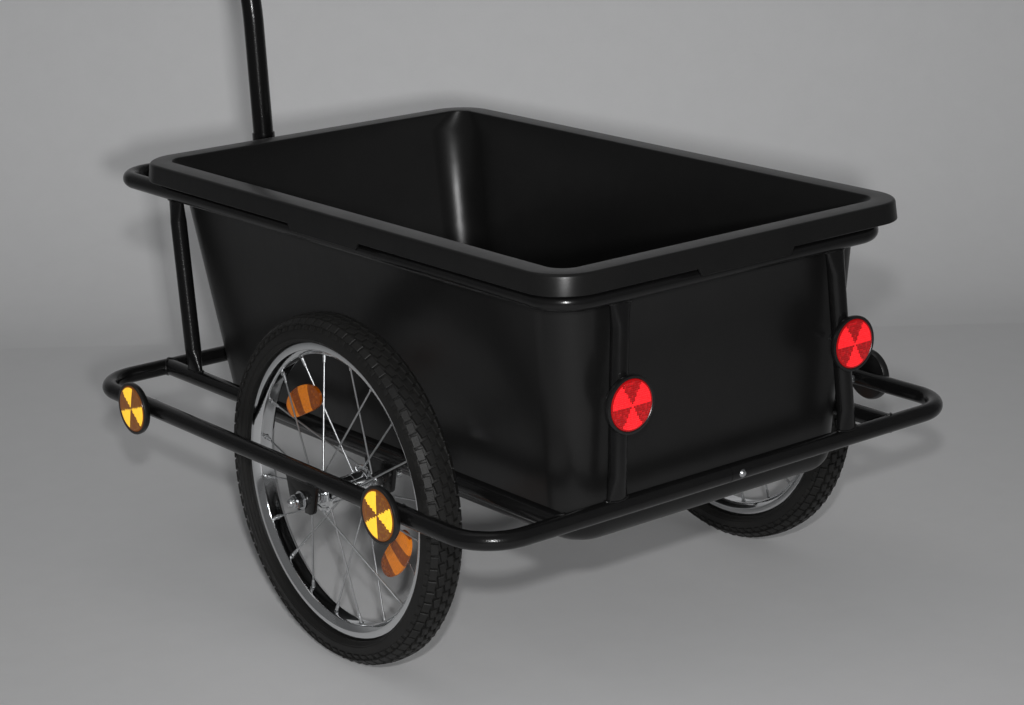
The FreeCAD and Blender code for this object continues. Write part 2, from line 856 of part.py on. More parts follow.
# Plates under the ring and the rails, open below for the axle
for side, sign, hand in SIDES:
    plates = []
    for where in ("rail", "lower_ring"):
        name = "plate_%s_%s" % (where, side)
        body = new_body(name)
        outline = new_sketch(body, name + "_outline", "XZ_Plane")
        low = "tyre_radius - plate_below_axle"
        draw_outline(
            outline,
            [
                ("-plate_top_half_width", "lower_ring_height"),
                ("-plate_bottom_half_width", low, "plate_corner"),
                ("plate_bottom_half_width", low, "plate_corner"),
                ("plate_top_half_width", "lower_ring_height"),
            ],
        )
        pad(body, outline, "plate_thickness", both_ways=True)
        slot_round = new_sketch(body, name + "_slot_round", "XZ_Plane")
        draw_circle(slot_round, "0", "tyre_radius", "axle_radius + axle_slot_fit")
        pocket(body, slot_round, "plate_thickness + 2 * overrun")
        slot = new_sketch(body, name + "_slot", "XZ_Plane")
        draw_rectangle(
            slot,
            "-(axle_radius + axle_slot_fit)",
            "axle_radius + axle_slot_fit",
            low + " - overrun",
            "tyre_radius",
        )
        pocket(body, slot, "plate_thickness + 2 * overrun")
        saddle = new_sketch(body, name + "_saddle", "YZ_Plane")
        draw_circle(saddle, "0", "lower_ring_height", "tube_radius")
        pocket(body, saddle, "4 * plate_top_half_width")
        plates.append(seat(body, y="%s%s_half_width" % (sign, where)))
    nodes.append(group("axle_plates_" + side, plates))

# Axles with their cones, nuts and washers. Each piece is placed by its distance
# outward from the middle of its wheel; the inner ones count negative.
axle_pieces = []
axle_bars = []
for side, sign, hand in SIDES:
    bar = cylinder("axle_bar_" + side, "axle_radius", "axle_outer_reach + axle_inner_reach")
    axle_bars.append(
        seat(
            bar,
            y=sign + "(wheel_half_width - axle_inner_reach)",
            z="tyre_radius",
            turn=ALONG_Y if hand > 0 else AGAINST_Y,
        )
    )
    for way, outward in (("out", 1), ("in", -1)):
        stack = (
            ("cone", "cone_inner_end", "cone_outer_end"),
            ("locknut", "cone_outer_end", "plate_inner_face"),
            ("washer", "plate_outer_face", "plate_outer_face + washer_thickness"),
            (
                "nut",
                "plate_outer_face + washer_thickness",
                "plate_outer_face + washer_thickness + axle_nut_height",
            ),
        )
        for kind, start, end in stack:
            name = "%s_%s_%s" % (kind, way, side)
            bore = "axle_radius + thread_fit"
            depth = "(%s) - (%s)" % (end, start)
            if kind == "cone":
                piece = bored(name, "bearing_radius", bore, depth)
            elif kind == "washer":
                piece = bored(name, "washer_radius", bore, depth)
            elif kind == "locknut":
                piece = hex_nut(name, "locknut_radius", bore, depth)
            else:
                piece = hex_nut(name, "axle_nut_radius", bore, depth)
            centre = "%s(wheel_half_width + (%s) * (%s))" % (sign, outward, start)
            turn = ALONG_Y if hand * outward > 0 else AGAINST_Y
            axle_pieces.append(seat(piece, y=centre, z="tyre_radius", turn=turn))
    cap = new_body("axle_cap_" + side)
    profile = new_sketch(cap, "axle_cap_profile_" + side, "XZ_Plane")
    hollow = "axle_outer_reach - cap_start + thread_fit"
    draw_outline(
        profile,
        [
            ("axle_radius + thread_fit", "0"),
            ("cap_radius", "0"),
            ("cap_radius", "cap_height / 2"),
            ("cap_radius / 2", "cap_height"),
            ("0", "cap_height"),
            ("0", hollow),
            ("axle_radius + thread_fit", hollow),
        ],
    )
    revolve(cap, profile)
    seat(
        cap,
        y=sign + "(wheel_half_width + cap_start)",
        z="tyre_radius",
        turn=ALONG_Y if hand > 0 else AGAINST_Y,
    )
    axle_pieces.append(cap)
nodes.append(group("axles", axle_bars))
nodes.append(group("axle_fittings", axle_pieces))


# Wheels: tyre, rim, hub shell and laced spokes, drawn about the axle along Y
def wheel_body(name, corners, side):
    body = new_body(name)
    profile = new_sketch(body, name + "_profile", "XY_Plane")
    draw_outline(profile, corners)
    revolve(body, profile)
    return seat(body, y=side + "wheel_half_width", z="tyre_radius")


def mirrored(half):
    """A profile from its upper half, given from the outside inward."""
    return half + [(radius, "-(%s)" % width) for radius, width in reversed(half)]


tyre_half = [
    ("tyre_radius", "tyre_crown_half_width"),
    ("tyre_radius - tyre_shoulder_drop", "tyre_shoulder_half_width"),
    ("tyre_radius - tyre_side_drop", "tyre_half_width"),
    ("rim_radius + bead_fit", "rim_half_width - rim_wall - bead_fit"),
    (
        "rim_radius - bead_height",
        "rim_half_width - rim_wall - bead_fit - bead_height * side_slope",
    ),
    (
        "rim_radius - bead_height",
        "rim_half_width - rim_wall - bead_fit - bead_height * side_slope - bead_width",
    ),
    (
        "tyre_radius - tyre_side_drop",
        "tyre_half_width - tyre_wall",
    ),
    (
        "tyre_radius - tyre_wall",
        "tyre_crown_half_width",
    ),
]
rim_half = [
    ("rim_radius", "rim_half_width"),
    ("rim_radius - rim_side_height", "rim_half_width"),
    ("rim_radius - rim_depth", "rim_base_half_width"),
]
rim_inside = [
    ("rim_radius", "rim_half_width - rim_wall"),
    ("rim_radius - rim_depth + rim_wall", "rim_base_half_width - rim_wall"),
]
hub_half = [
    ("bearing_radius + bearing_fit", "hub_flange_half_span"),
    ("hub_hole_radius - spoke_radius", "hub_flange_half_span"),
    ("hub_flange_radius", "hub_flange_half_span - hub_flange_taper"),
    ("hub_flange_radius", "hub_flange_half_span - hub_flange_thickness"),
    ("hub_barrel_radius", "hub_flange_half_span - hub_flange_thickness"),
]
for side, sign, hand in SIDES:
    tyre = wheel_body("tyre_" + side, mirrored(tyre_half), sign)
    rim = wheel_body(
        "rim_" + side,
        rim_half
        + [(radius, "-(%s)" % width) for radius, width in reversed(rim_half)]
        + [(radius, "-(%s)" % width) for radius, width in rim_inside]
        + list(reversed(rim_inside)),
        sign,
    )
    hub = wheel_body("hub_shell_" + side, mirrored(hub_half), sign)
    centre = Vector(size.axle_place, hand * size.wheel_half_width, size.tyre_radius)
    spokes = []
    nipples = []
    for index in range(spoke_count):
        start, end, kind = spoke_ends(index)
        along = (end - start).normalize()
        turn = Rotation(Vector(0, 0, 1), along)
        foot = end - along * size.nipple_length
        spoke = cylinder(
            "spoke_%s_%d" % (side, index + 1), "spoke_radius", kind + "_spoke_length"
        )
        spoke.Placement = Placement(centre + start, turn)
        spokes.append(spoke)
        nipple = doc.addObject("Part::Box", "nipple_%s_%d" % (side, index + 1))
        for path in ("Length", "Width"):
            bind(nipple, path, "2 * nipple_half_width")
        bind(nipple, "Height", "nipple_length")
        corner = Vector(-size.nipple_half_width, -size.nipple_half_width, 0)
        nipple.Placement = Placement(centre + foot + turn.multVec(corner), turn)
        nipples.append(nipple)
    # clip-on reflectors between the two rows of spokes
    clips = []
    reflector_middle = (size.spoke_reflector_inner_radius + size.spoke_reflector_outer_radius) / 2
    for index, angle in enumerate(spoke_reflector_angles):
        name = "spoke_reflector_%s_%d" % (side, index + 1)
        plate = cylinder(
            name + "_plate",
            "spoke_reflector_outer_radius",
            "2 * spoke_reflector_half_thickness",
        )
        plate.Angle = spoke_reflector_span
        hole = cylinder(
            name + "_inside",
            "spoke_reflector_inner_radius",
            "2 * (spoke_reflector_half_thickness + overrun)",
        )
        bind(hole, "Placement.Base.z", "-overrun")
        clip = cut(name, plate, hole)
        # the piece's own Z becomes the trailer's -Y, so angles run from +X towards +Z
        spin = Rotation(Vector(0, 0, 1), angle - spoke_reflector_span / 2)
        offset = Vector(0, size.spoke_reflector_half_thickness, 0)
        around = Placement(centre + offset, AGAINST_Y.multiply(spin))
        middle = centre + Vector(
            reflector_middle * math.cos(math.radians(angle)),
            0,
            reflector_middle * math.sin(math.radians(angle)),
        )
        swing = Placement(Vector(), Rotation(Vector(0, -1, 0), spoke_reflector_turn), middle)
        clip.Placement = swing.multiply(around)
        clips.append(clip)
    valve = cylinder("valve_" + side, "valve_radius", "valve_length")
    valve_way = Vector(
        -math.cos(math.radians(valve_angle)), 0, -math.sin(math.radians(valve_angle))
    )
    valve_foot = valve_way * -(size.rim_radius - size.rim_depth)
    valve.Placement = Placement(centre + valve_foot, Rotation(Vector(0, 0, 1), valve_way))
    nodes += [
        tyre,
        rim,
        hub,
        group("spokes_" + side, spokes),
        group("nipples_" + side, nipples),
        group("spoke_reflectors_" + side, clips),
        valve,
    ]

# Tub: drafted walls, a neck that widens, and a hollow rim that rests on the ring
tub = new_body("tub")
skirt_low = "(rim_top_height - rim_skirt_depth)"


neck_rise = "(rim_top_height - rim_skirt_depth - tub_floor_height)"
floor_round_shares = (1.0, 2 / 3, 1 / 3, 0.0)


def tub_section(name, rise, inset):
    """A rounded rectangle across the walls, at a rise above the floor."""
    sketch = new_sketch(tub, name, "XY_Plane", "tub_floor_height + (%s)" % rise)
    share = "((%s) / %s)" % (rise, neck_rise)
    rear, front, half, corner = (
        "(tub_floor_%s + (tub_neck_%s - tub_floor_%s) * %s - (%s))"
        % (name, name, name, share, inset)
        for name in ("rear_reach", "front_reach", "half_width", "corner")
    )
    draw_rectangle(sketch, "-" + rear, front, "-" + half, half, corner)
    return sketch


def rim_section(name, height, inset):
    """A rounded rectangle a given width inside the rim's outer edge."""
    sketch = new_sketch(tub, name, "XY_Plane", height)
    draw_rectangle(
        sketch,
        "-rim_rear_reach + (%s)" % inset,
        "rim_front_reach - (%s)" % inset,
        "-rim_outer_half_width + (%s)" % inset,
        "rim_outer_half_width - (%s)" % inset,
        "rim_corner - (%s)" % inset,
    )
    return sketch


def tub_levels(name, wall):
    """Sections from the floor's rounded edge up to the band; the inside has a wall."""
    levels = []
    edge = "(tub_floor_edge - (%s))" % wall
    for place, share in enumerate(floor_round_shares):
        angle = math.radians(90 * share)
        rise = "%s + %s * (%r)" % (wall, edge, 1 - math.sin(angle))
        inset = "%s + %s * (%r)" % (wall, edge, 1 - math.cos(angle))
        levels.append(tub_section("%s_floor_%d" % (name, place), rise, inset))
    levels.append(tub_section(name + "_neck", neck_rise, wall))
    levels.append(
        rim_section(name + "_top", "rim_top_height", "rim_band_width - tub_wall + (%s)" % wall)
    )
    return levels


loft(tub, tub_levels("outside", "0"))
rim_round_shares = (0.0, 0.5, 1.0)
band = []
for place, share in enumerate(rim_round_shares):
    angle = math.radians(90 * share)
    height = "rim_top_height - rim_edge * (%r)" % (1 - math.sin(angle))
    inset = "rim_edge * (%r)" % (1 - math.cos(angle))
    band.append(rim_section("rim_band_%d" % place, height, inset))
loft(tub, band)
skirt = rim_section("rim_skirt", skirt_low, "0")
draw_rectangle(
    skirt,
    "-rim_rear_reach + rim_skirt_wall",
    "rim_front_reach - rim_skirt_wall",
    "-rim_outer_half_width + rim_skirt_wall",
    "rim_outer_half_width - rim_skirt_wall",
    "rim_corner - rim_skirt_wall",
)
pad(tub, skirt, "rim_skirt_depth - rim_edge")
lips = new_sketch(tub, "rim_lips", "XY_Plane", skirt_low + " - lip_depth")
middle = "(rim_front_reach - rim_rear_reach) / 2"
for sign in ("", "-"):
    edges = (
        sign + "(rim_outer_half_width - rim_skirt_wall)",
        sign + "rim_outer_half_width",
    )
    draw_rectangle(
        lips,
        middle + " - lip_half_length",
        middle + " + lip_half_length",
        *(edges if sign == "" else edges[::-1])
    )
draw_rectangle(
    lips, "-rim_rear_reach", "-rim_rear_reach + rim_skirt_wall", "-lip_half_length", "lip_half_length"
)
draw_rectangle(
    lips, "rim_front_reach - rim_skirt_wall", "rim_front_reach", "-lip_half_length", "lip_half_length"
)
pad(tub, lips, "lip_depth + rim_skirt_wall")
# ribs under the rim that stand on the upper ring
ribs = new_sketch(tub, "rest_ribs", "XY_Plane", "upper_ring_height + tube_radius + rest_fit")
for sign in ("", "-"):
    for step in (-1, 0, 1):
        place = "%s + (%d) * rest_rib_spacing" % (middle, step)
        edges = [
            sign + "(tub_neck_half_width - tub_wall / 2)",
            sign + "(rim_outer_half_width - rim_skirt_wall / 2)",
        ]
        if sign:
            edges.reverse()
        draw_rectangle(
            ribs,
            place + " - rest_rib_half_thickness",
            place + " + rest_rib_half_thickness",
            edges[0],
            edges[1],
        )
    spot = sign + "rest_rib_spacing / 2"
    draw_rectangle(
        ribs,
        "-rim_rear_reach + rim_skirt_wall / 2",
        "-tub_neck_rear_reach + tub_wall / 2",
        spot + " - rest_rib_half_thickness",
        spot + " + rest_rib_half_thickness",
    )
pad(
    tub,
    ribs,
    "rim_top_height - rim_skirt_wall / 2 - upper_ring_height - tube_radius - rest_fit",
)
loft(tub, tub_levels("inside", "tub_wall"), cut=True)
seat(tub)
nodes.append(tub)

# Round reflectors: a cup on a boss, a lens, and a stud with its nut through the tube.
# Each is drawn facing its own +Z, with its origin at the centre of the tube behind it.
nut_reach = "tube_radius + stud_nut_height"
stud_reach = nut_reach + " + stud_tail"


def reflector(name, slack):
    """One reflector; slack is the room that it leaves on each side of its tube."""
    cup = new_body("cup_" + name)
    profile = new_sketch(cup, "cup_profile_" + name, "XZ_Plane")
    back = "reflector_stand"
    front = "(reflector_stand + housing_depth)"
    draw_outline(
        profile,
        [
            ("stud_radius + screw_fit", "tube_radius"),
            ("housing_boss_radius", "tube_radius"),
            ("housing_boss_radius", back),
            ("housing_radius", back),
            ("housing_radius", front),
            ("lens_radius + lens_fit", front),
            ("lens_radius + lens_fit", front + " - lens_depth"),
            ("0", front + " - lens_depth"),
            ("0", "tube_radius + stud_depth"),
            ("stud_radius + screw_fit", "tube_radius + stud_depth"),
        ],
    )
    revolve(cup, profile)
    lens = new_body("lens_" + name)
    profile = new_sketch(lens, "lens_profile_" + name, "XZ_Plane")
    draw_outline(
        profile,
        [
            ("0", front + " - lens_depth"),
            ("lens_radius", front + " - lens_depth"),
            ("lens_radius", front),
            ("0", front + " + lens_crown"),
        ],
    )
    revolve(lens, profile)
    stud = cylinder(
        "stud_" + name,
        "stud_radius",
        "%s + 2 * (%s) + tube_radius + stud_depth - screw_fit" % (stud_reach, slack),
    )
    nut = hex_nut(
        "stud_nut_" + name,
        "stud_nut_radius",
        "stud_radius + thread_fit",
        "stud_nut_height",
    )
    return cup, lens, stud, nut


def face_out(piece, turn, x, y, z, back="0"):
    """Turns a reflector's piece outward; back is how far its origin lies behind the tube."""
    out = turn.multVec(Vector(0, 0, 1))
    seat(
        piece,
        x="(%s) - (%s) * (%d)" % (x, back, round(out.x)),
        y="(%s) - (%s) * (%d)" % (y, back, round(out.y)),
        z=z,
        turn=turn,
    )
    return piece


cups = []
fixings = []
for family, material_name in (("rear", "red"), ("side", "amber")):
    lenses = []
    for side, sign, hand in SIDES:
        if family == "rear":
            turns = AGAINST_X
            slack = "post_lean_fit"
            spots = [
                (
                    "-rear_reflector_post_reach - post_lean_fit",
                    sign + "rear_reflector_half_width",
                    "rear_reflector_height",
                )
            ]
        else:
            turns = ALONG_Y if hand > 0 else AGAINST_Y
            slack = "0"
            spots = [
                (reach, sign + "lower_ring_half_width", "lower_ring_height")
                for reach in ("side_front_reach", "-side_rear_reach")
            ]
        for number, spot in enumerate(spots):
            name = "%s_%s_%d" % (family, side, number + 1)
            cup, lens, stud, nut = reflector(name, slack)
            cups.append(face_out(cup, turns, *spot))
            lenses.append(face_out(lens, turns, *spot))
            both_slacks = " + 2 * (%s)" % slack
            fixings.append(face_out(stud, turns, *spot, back=stud_reach + both_slacks))
            fixings.append(face_out(nut, turns, *spot, back=nut_reach + both_slacks))
    nodes.append(group("%s_lenses_%s" % (family, material_name), lenses))
nodes.append(group("reflector_housings", cups))
nodes.append(group("reflector_fixings", fixings))

# Drawbar socket, welded in front of the upper ring, with the knob's threaded boss
lean_turn = Rotation(Vector(0, 1, 0), drawbar_lean)
socket = new_body("drawbar_socket")
section = new_sketch(socket, "socket_section", "XY_Plane")
draw_circle(section, "0", "0", "socket_radius")
draw_circle(section, "0", "0", "socket_bore")
pad(socket, section, "socket_length")
stop = new_sketch(socket, "socket_stop", "XY_Plane")
draw_circle(stop, "0", "0", "socket_radius")
draw_circle(stop, "0", "0", "socket_stop_radius")
pad(socket, stop, "socket_stop_height")
boss = new_sketch(socket, "socket_boss", "YZ_Plane", "drawbar_radius / 2")
draw_circle(boss, "0", "knob_along", "knob_boss_radius")
pad(socket, boss, "knob_boss_reach - drawbar_radius / 2")
clear = new_sketch(socket, "socket_clear", "XY_Plane", "socket_stop_height")
draw_circle(clear, "0", "0", "socket_bore")
pocket(socket, clear, "socket_length", both_ways=False, flip=True)
thread = new_sketch(socket, "socket_thread", "YZ_Plane")
draw_circle(thread, "0", "knob_along", "knob_screw_radius + knob_screw_fit")
pocket(socket, thread, "knob_boss_reach + overrun", both_ways=False, flip=True)
seat_point(socket, socket_foot, lean_turn)
nodes.append(socket)

# Clamping knob: a notched head on a screw
knob = new_body("clamp_knob")
disc = new_sketch(knob, "knob_disc", "YZ_Plane", "knob_boss_reach + knob_gap")
draw_circle(disc, "0", "0", "knob_radius")
pad(knob, disc, "knob_thickness")
notches = new_sketch(knob, "knob_notches", "YZ_Plane", "knob_boss_reach")
for index in range(knob_notches):
    angle = math.radians(360.0 * index / knob_notches)
    draw_circle(
        notches,
        "knob_notch_reach * (%r)" % math.cos(angle),
        "knob_notch_reach * (%r)" % math.sin(angle),
        "knob_notch_radius",
    )
pocket(knob, notches, "4 * knob_boss_reach")
screw = new_sketch(knob, "knob_screw", "YZ_Plane", "drawbar_radius + knob_tip_gap")
draw_circle(screw, "0", "0", "knob_screw_radius")
pad(knob, screw, "knob_boss_reach + knob_gap - drawbar_radius")
seat_point(knob, knob_point, lean_turn)
nodes.append(knob)

# Strut from the lower ring to the socket
strut = new_body("socket_strut")
section = new_sketch(strut, "strut_section", "YZ_Plane")
draw_circle(section, "0", "0", "tube_radius")
pad(strut, section, "strut_span")
bore = new_sketch(strut, "strut_bore", "YZ_Plane", "tube_radius + strut_plug_length")
draw_circle(bore, "0", "0", "tube_bore")
pocket(strut, bore, "strut_span", both_ways=False, flip=True)
saddle = new_sketch(strut, "strut_saddle", "XZ_Plane")
draw_circle(saddle, "0", "0", "tube_radius")
pocket(strut, saddle, "2 * (tube_radius + overrun)")
saddle = new_sketch(strut, "strut_socket_saddle", "XY_Plane", turn=lean_turn)
draw_circle(saddle, "strut_socket_place", "0", "socket_radius")
pocket(strut, saddle, "4 * (tube_radius + overrun)")
thread = new_sketch(strut, "strut_thread", "YZ_Plane")
draw_circle(thread, "0", "0", "ring_screw_radius + thread_fit")
pocket(strut, thread, "2 * (tube_radius + strut_plug_length)")
seat(strut, x="lower_ring_front_reach", z="lower_ring_height")
nodes.append(strut)

# Drawbar: straight in its socket, then bent forward over a wide radius. It is drawn
# in the upright plane of the trailer, from its own foot.
drawbar = new_body("drawbar_tube")
path = new_sketch(drawbar, "drawbar_path", "XZ_Plane")
draw_outline(
    path,
    [
        ("0", "0"),
        ("drawbar_corner_forward", "drawbar_corner_up", "drawbar_bend_radius"),
        ("drawbar_end_forward", "drawbar_end_up"),
    ],
    closed=False,
)
section = new_sketch(drawbar, "drawbar_section", "XY_Plane", turn=lean_turn)
for radius in ("drawbar_radius", "drawbar_radius - drawbar_wall"):
    draw_circle(section, "0", "0", radius)
pipe(drawbar, section, path)
seat_point(drawbar, drawbar_foot)
nodes.append(drawbar)

# Soft grip on the drawbar's run
run_turn = Rotation(Vector(0, 1, 0), drawbar_lean + drawbar_bend)
grip = bored(
    "handle_grip", "drawbar_radius + grip_wall", "drawbar_radius + plug_fit", "grip_length"
)
seat_point(grip, run_start + along_run * size.grip_start, run_turn)
nodes.append(grip)

# Fork at the drawbar's end, drawn along its own Z with the pin along Y
fork = new_body("coupling_fork")
plug = new_sketch(fork, "fork_plug", "XY_Plane", "-plug_length")
draw_circle(plug, "0", "0", "drawbar_radius - drawbar_wall - plug_fit")
pad(fork, plug, "plug_length")
base = new_sketch(fork, "fork_base", "XY_Plane")
draw_circle(base, "0", "0", "fork_base_radius")
pad(fork, base, "fork_base_thickness")
cheeks = new_sketch(fork, "fork_cheeks", "XZ_Plane")
cheek_top = "fork_base_thickness + cheek_reach + cheek_half_height"
cheek_round = "cheek_half_height - side_fit"
draw_outline(
    cheeks,
    [
        ("-cheek_half_height", "fork_base_thickness / 2"),
        ("cheek_half_height", "fork_base_thickness / 2"),
        ("cheek_half_height", cheek_top, cheek_round),
        ("-cheek_half_height", cheek_top, cheek_round),
    ],
)
pad(fork, cheeks, "2 * fork_half_width", both_ways=True)
mouth = new_sketch(fork, "fork_mouth", "YZ_Plane")
draw_rectangle(
    mouth,
    "-fork_inner",
    "fork_inner",
    "fork_base_thickness",
    "fork_base_thickness + cheek_reach + cheek_half_height + overrun",
)
pocket(fork, mouth, "2 * (cheek_half_height + overrun)")
eye = new_sketch(fork, "fork_eye", "XZ_Plane")
draw_circle(eye, "0", "fork_base_thickness + cheek_reach", "pitch_pin_radius + pin_fit")
pocket(fork, eye, "2 * (fork_half_width + overrun)")
seat_point(fork, run_end, run_turn)
nodes.append(fork)


def headed_pin(name, radius, grip_length):
    """A pin along its own Z, with a head at each end of the length that it holds."""
    pin = new_body(name)
    profile = new_sketch(pin, name + "_profile", "XZ_Plane")
    half = "((%s) / 2)" % grip_length
    draw_outline(
        profile,
        [
            ("0", "-%s - pin_head_height" % half),
            ("pin_head_radius", "-%s - pin_head_height" % half),
            ("pin_head_radius", "-" + half),
            (radius, "-" + half),
            (radius, half),
            ("pin_head_radius", half),
            ("pin_head_radius", "%s + pin_head_height" % half),
            ("0", "%s + pin_head_height" % half),
        ],
    )
    revolve(pin, profile)
    return pin


pitch_pin = headed_pin("pitch_pin", "pitch_pin_radius", "2 * fork_half_width")
seat_point(pitch_pin, pitch_point, ALONG_Y)
nodes.append(pitch_pin)

# Swivel block between the fork and the seat post clamp, drawn from the pitch pin
block = new_body("swivel_block")
outline = new_sketch(block, "block_outline", "XY_Plane")
draw_outline(
    outline,
    [
        ("-hitch_half_height", "-hitch_half_width"),
        ("hitch_length + lug_radius", "-hitch_half_width", "hitch_half_width - side_fit"),
        ("hitch_length + lug_radius", "hitch_half_width", "hitch_half_width - side_fit"),
        ("-hitch_half_height", "hitch_half_width"),
    ],
)
pad(block, outline, "2 * hitch_half_height", both_ways=True)
eye = new_sketch(block, "block_pitch_eye", "XZ_Plane")
draw_circle(eye, "0", "0", "pitch_pin_radius + pin_fit")
pocket(block, eye, "2 * (hitch_half_width + overrun)")
eye = new_sketch(block, "block_yaw_eye", "XY_Plane")
draw_circle(eye, "hitch_length", "0", "yaw_pin_radius + pin_fit")
pocket(block, eye, "2 * (hitch_half_height + overrun)")
seat_point(block, pitch_point)
nodes.append(block)

# Seat post clamp: a rear half with two lugs round the block, a front half, two screws
halves = {}
for name, way in (("rear", -1), ("front", 1)):
    half = new_body("seat_clamp_" + name)
    ring = new_sketch(half, "clamp_ring_" + name, "XY_Plane")
    draw_circle(ring, "0", "0", "clamp_radius")
    pad(half, ring, "2 * clamp_half_height", both_ways=True)
    ears = new_sketch(half, "clamp_ears_" + name, "YZ_Plane")
    draw_rectangle(
        ears,
        "-(clamp_radius + clamp_ear_length)",
        "clamp_radius + clamp_ear_length",
        "-clamp_half_height",
        "clamp_half_height",
    )
    pad(half, ears, "2 * clamp_ear_depth", both_ways=True)
    if name == "rear":
        lugs = new_sketch(half, "clamp_lugs", "XY_Plane")
        draw_outline(
            lugs,
            [
                ("-(clamp_reach + lug_radius)", "lug_radius", "lug_radius - side_fit"),
                ("-(clamp_reach + lug_radius)", "-lug_radius", "lug_radius - side_fit"),
                ("-seat_post_radius", "-lug_radius"),
                ("-seat_post_radius", "lug_radius"),
            ],
        )
        pad(half, lugs, "2 * lug_outer", both_ways=True)
        mouth = new_sketch(half, "clamp_mouth", "XZ_Plane")
        draw_rectangle(
            mouth,
            "-(clamp_reach + lug_radius + overrun)",
            "-(clamp_radius + side_fit)",
            "-lug_inner",
            "lug_inner",
        )
        pocket(half, mouth, "2 * (lug_radius + overrun)")
        eye = new_sketch(half, "clamp_eye", "XY_Plane")
        draw_circle(eye, "-clamp_reach", "0", "yaw_pin_radius + pin_fit")
        pocket(half, eye, "2 * (lug_outer + overrun)")
    bore = new_sketch(half, "clamp_bore_" + name, "XY_Plane")
    draw_circle(bore, "0", "0", "seat_post_radius")
    pocket(half, bore, "2 * (clamp_half_height + overrun)")
    away = new_sketch(half, "clamp_away_" + name, "XY_Plane")
    wide = "clamp_radius + clamp_ear_length + overrun"
    if way < 0:
        draw_rectangle(away, "-clamp_split", wide, "-(%s)" % wide, wide)
    else:
        draw_rectangle(away, "-(%s)" % wide, "clamp_split", "-(%s)" % wide, wide)
    pocket(half, away, "2 * (clamp_half_height + overrun)")
    holes = new_sketch(half, "clamp_holes_" + name, "YZ_Plane")
    for sign in ("", "-"):
        spot = sign + "(clamp_radius + clamp_ear_length / 2)"
        draw_circle(holes, spot, "0", "clamp_screw_radius + screw_fit")
    pocket(half, holes, "2 * (clamp_ear_depth + overrun)")
    seat_point(half, clamp_point)
    nodes.append(half)

screws = []
for side, sign, hand in SIDES:
    body = new_body("clamp_screw_" + side)
    profile = new_sketch(body, "clamp_screw_profile_" + side, "XY_Plane")
    draw_outline(
        profile,
        [
            ("clamp_ear_depth + clamp_head_height", "0"),
            ("clamp_ear_depth + clamp_head_height", "clamp_head_radius"),
            ("clamp_ear_depth", "clamp_head_radius"),
            ("clamp_ear_depth", "clamp_screw_radius"),
            ("-clamp_ear_depth - clamp_head_height - stud_tail", "clamp_screw_radius"),
            ("-clamp_ear_depth - clamp_head_height - stud_tail", "0"),
        ],
    )
    revolve(body, profile, "H_Axis")
    spot = Vector(0, hand * (size.clamp_radius + size.clamp_ear_length / 2), 0)
    screws.append(seat_point(body, clamp_point + spot))
    nut = hex_nut(
        "clamp_nut_" + side,
        "clamp_head_radius",
        "clamp_screw_radius + thread_fit",
        "clamp_head_height",
    )
    back = Vector(-size.clamp_ear_depth, 0, 0)
    screws.append(seat_point(nut, clamp_point + spot + back, AGAINST_X))
nodes.append(group("clamp_screws", screws))

yaw_pin = headed_pin("yaw_pin", "yaw_pin_radius", "2 * lug_outer")
seat_point(yaw_pin, yaw_point)
nodes.append(yaw_pin)

# Everything is worked out, checked and written
doc.recompute()
for thing in doc.Objects:
    if "Invalid" in thing.State or "Error" in thing.State:
        raise RuntimeError("%s did not come out: %s" % (thing.Label, thing.State))
for node in nodes:
    if node.Shape.isNull() or not node.Shape.isValid() or not node.Shape.Solids:
        raise RuntimeError("%s has no valid solid" % node.Label)

os.makedirs("parts", exist_ok=True)
for node in nodes:
    node.Shape.exportStep("parts/%s.step" % node.Label)
print("%d nodes" % len(nodes))
for name, point in (
    ("pitch", pitch_point),
    ("yaw", yaw_point),
    ("clamp", clamp_point),
    ("socket foot", socket_foot),
    ("knob", knob_point),
):
    print(name, [round(value, 3) for value in point + Vector(size.axle_place, 0, 0)])
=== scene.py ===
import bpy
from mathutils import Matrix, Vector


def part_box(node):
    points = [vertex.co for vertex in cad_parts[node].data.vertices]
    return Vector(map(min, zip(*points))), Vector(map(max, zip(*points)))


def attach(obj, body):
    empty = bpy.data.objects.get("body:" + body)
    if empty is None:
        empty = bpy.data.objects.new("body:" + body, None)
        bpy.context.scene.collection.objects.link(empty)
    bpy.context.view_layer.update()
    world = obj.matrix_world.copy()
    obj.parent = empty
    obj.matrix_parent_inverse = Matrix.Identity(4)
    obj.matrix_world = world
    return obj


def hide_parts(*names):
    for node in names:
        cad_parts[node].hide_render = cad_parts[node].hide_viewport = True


bl_info = {
    "name": "Cargo trailer looks", "version": (1, 0, 0), "blender": (4, 5, 0),
    "location": "3D View > Sidebar > Cargo trailer",
    "description": "Dresses the packed frame of a convertible cargo trailer", "category": "Object",
}

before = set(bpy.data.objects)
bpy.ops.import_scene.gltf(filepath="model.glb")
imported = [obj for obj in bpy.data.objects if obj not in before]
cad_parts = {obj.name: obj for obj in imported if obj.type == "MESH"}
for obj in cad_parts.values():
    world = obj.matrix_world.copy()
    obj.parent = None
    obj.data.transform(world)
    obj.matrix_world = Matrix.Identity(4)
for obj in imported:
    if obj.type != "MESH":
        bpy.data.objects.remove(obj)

import math

import bmesh
import bpy
from bpy.props import FloatProperty, FloatVectorProperty, IntProperty, PointerProperty
from mathutils import Matrix, Vector

# Metres. +X is forward, +Y is left, +Z is up; the floor is at zero.
FULL_TURN = 2 * math.pi
SIDES = (("left", 1), ("right", -1))
UP = Vector((0, 0, 1))
FORWARD = Vector((1, 0, 0))
LEFTWARD = Vector((0, 1, 0))


def middle(node):
    low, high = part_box(node)
    return (Vector(low) + Vector(high)) / 2


WHEEL_CENTRES = {side: middle("rim_" + side) for side in ("left", "right")}
AXLE_X = WHEEL_CENTRES["left"].x


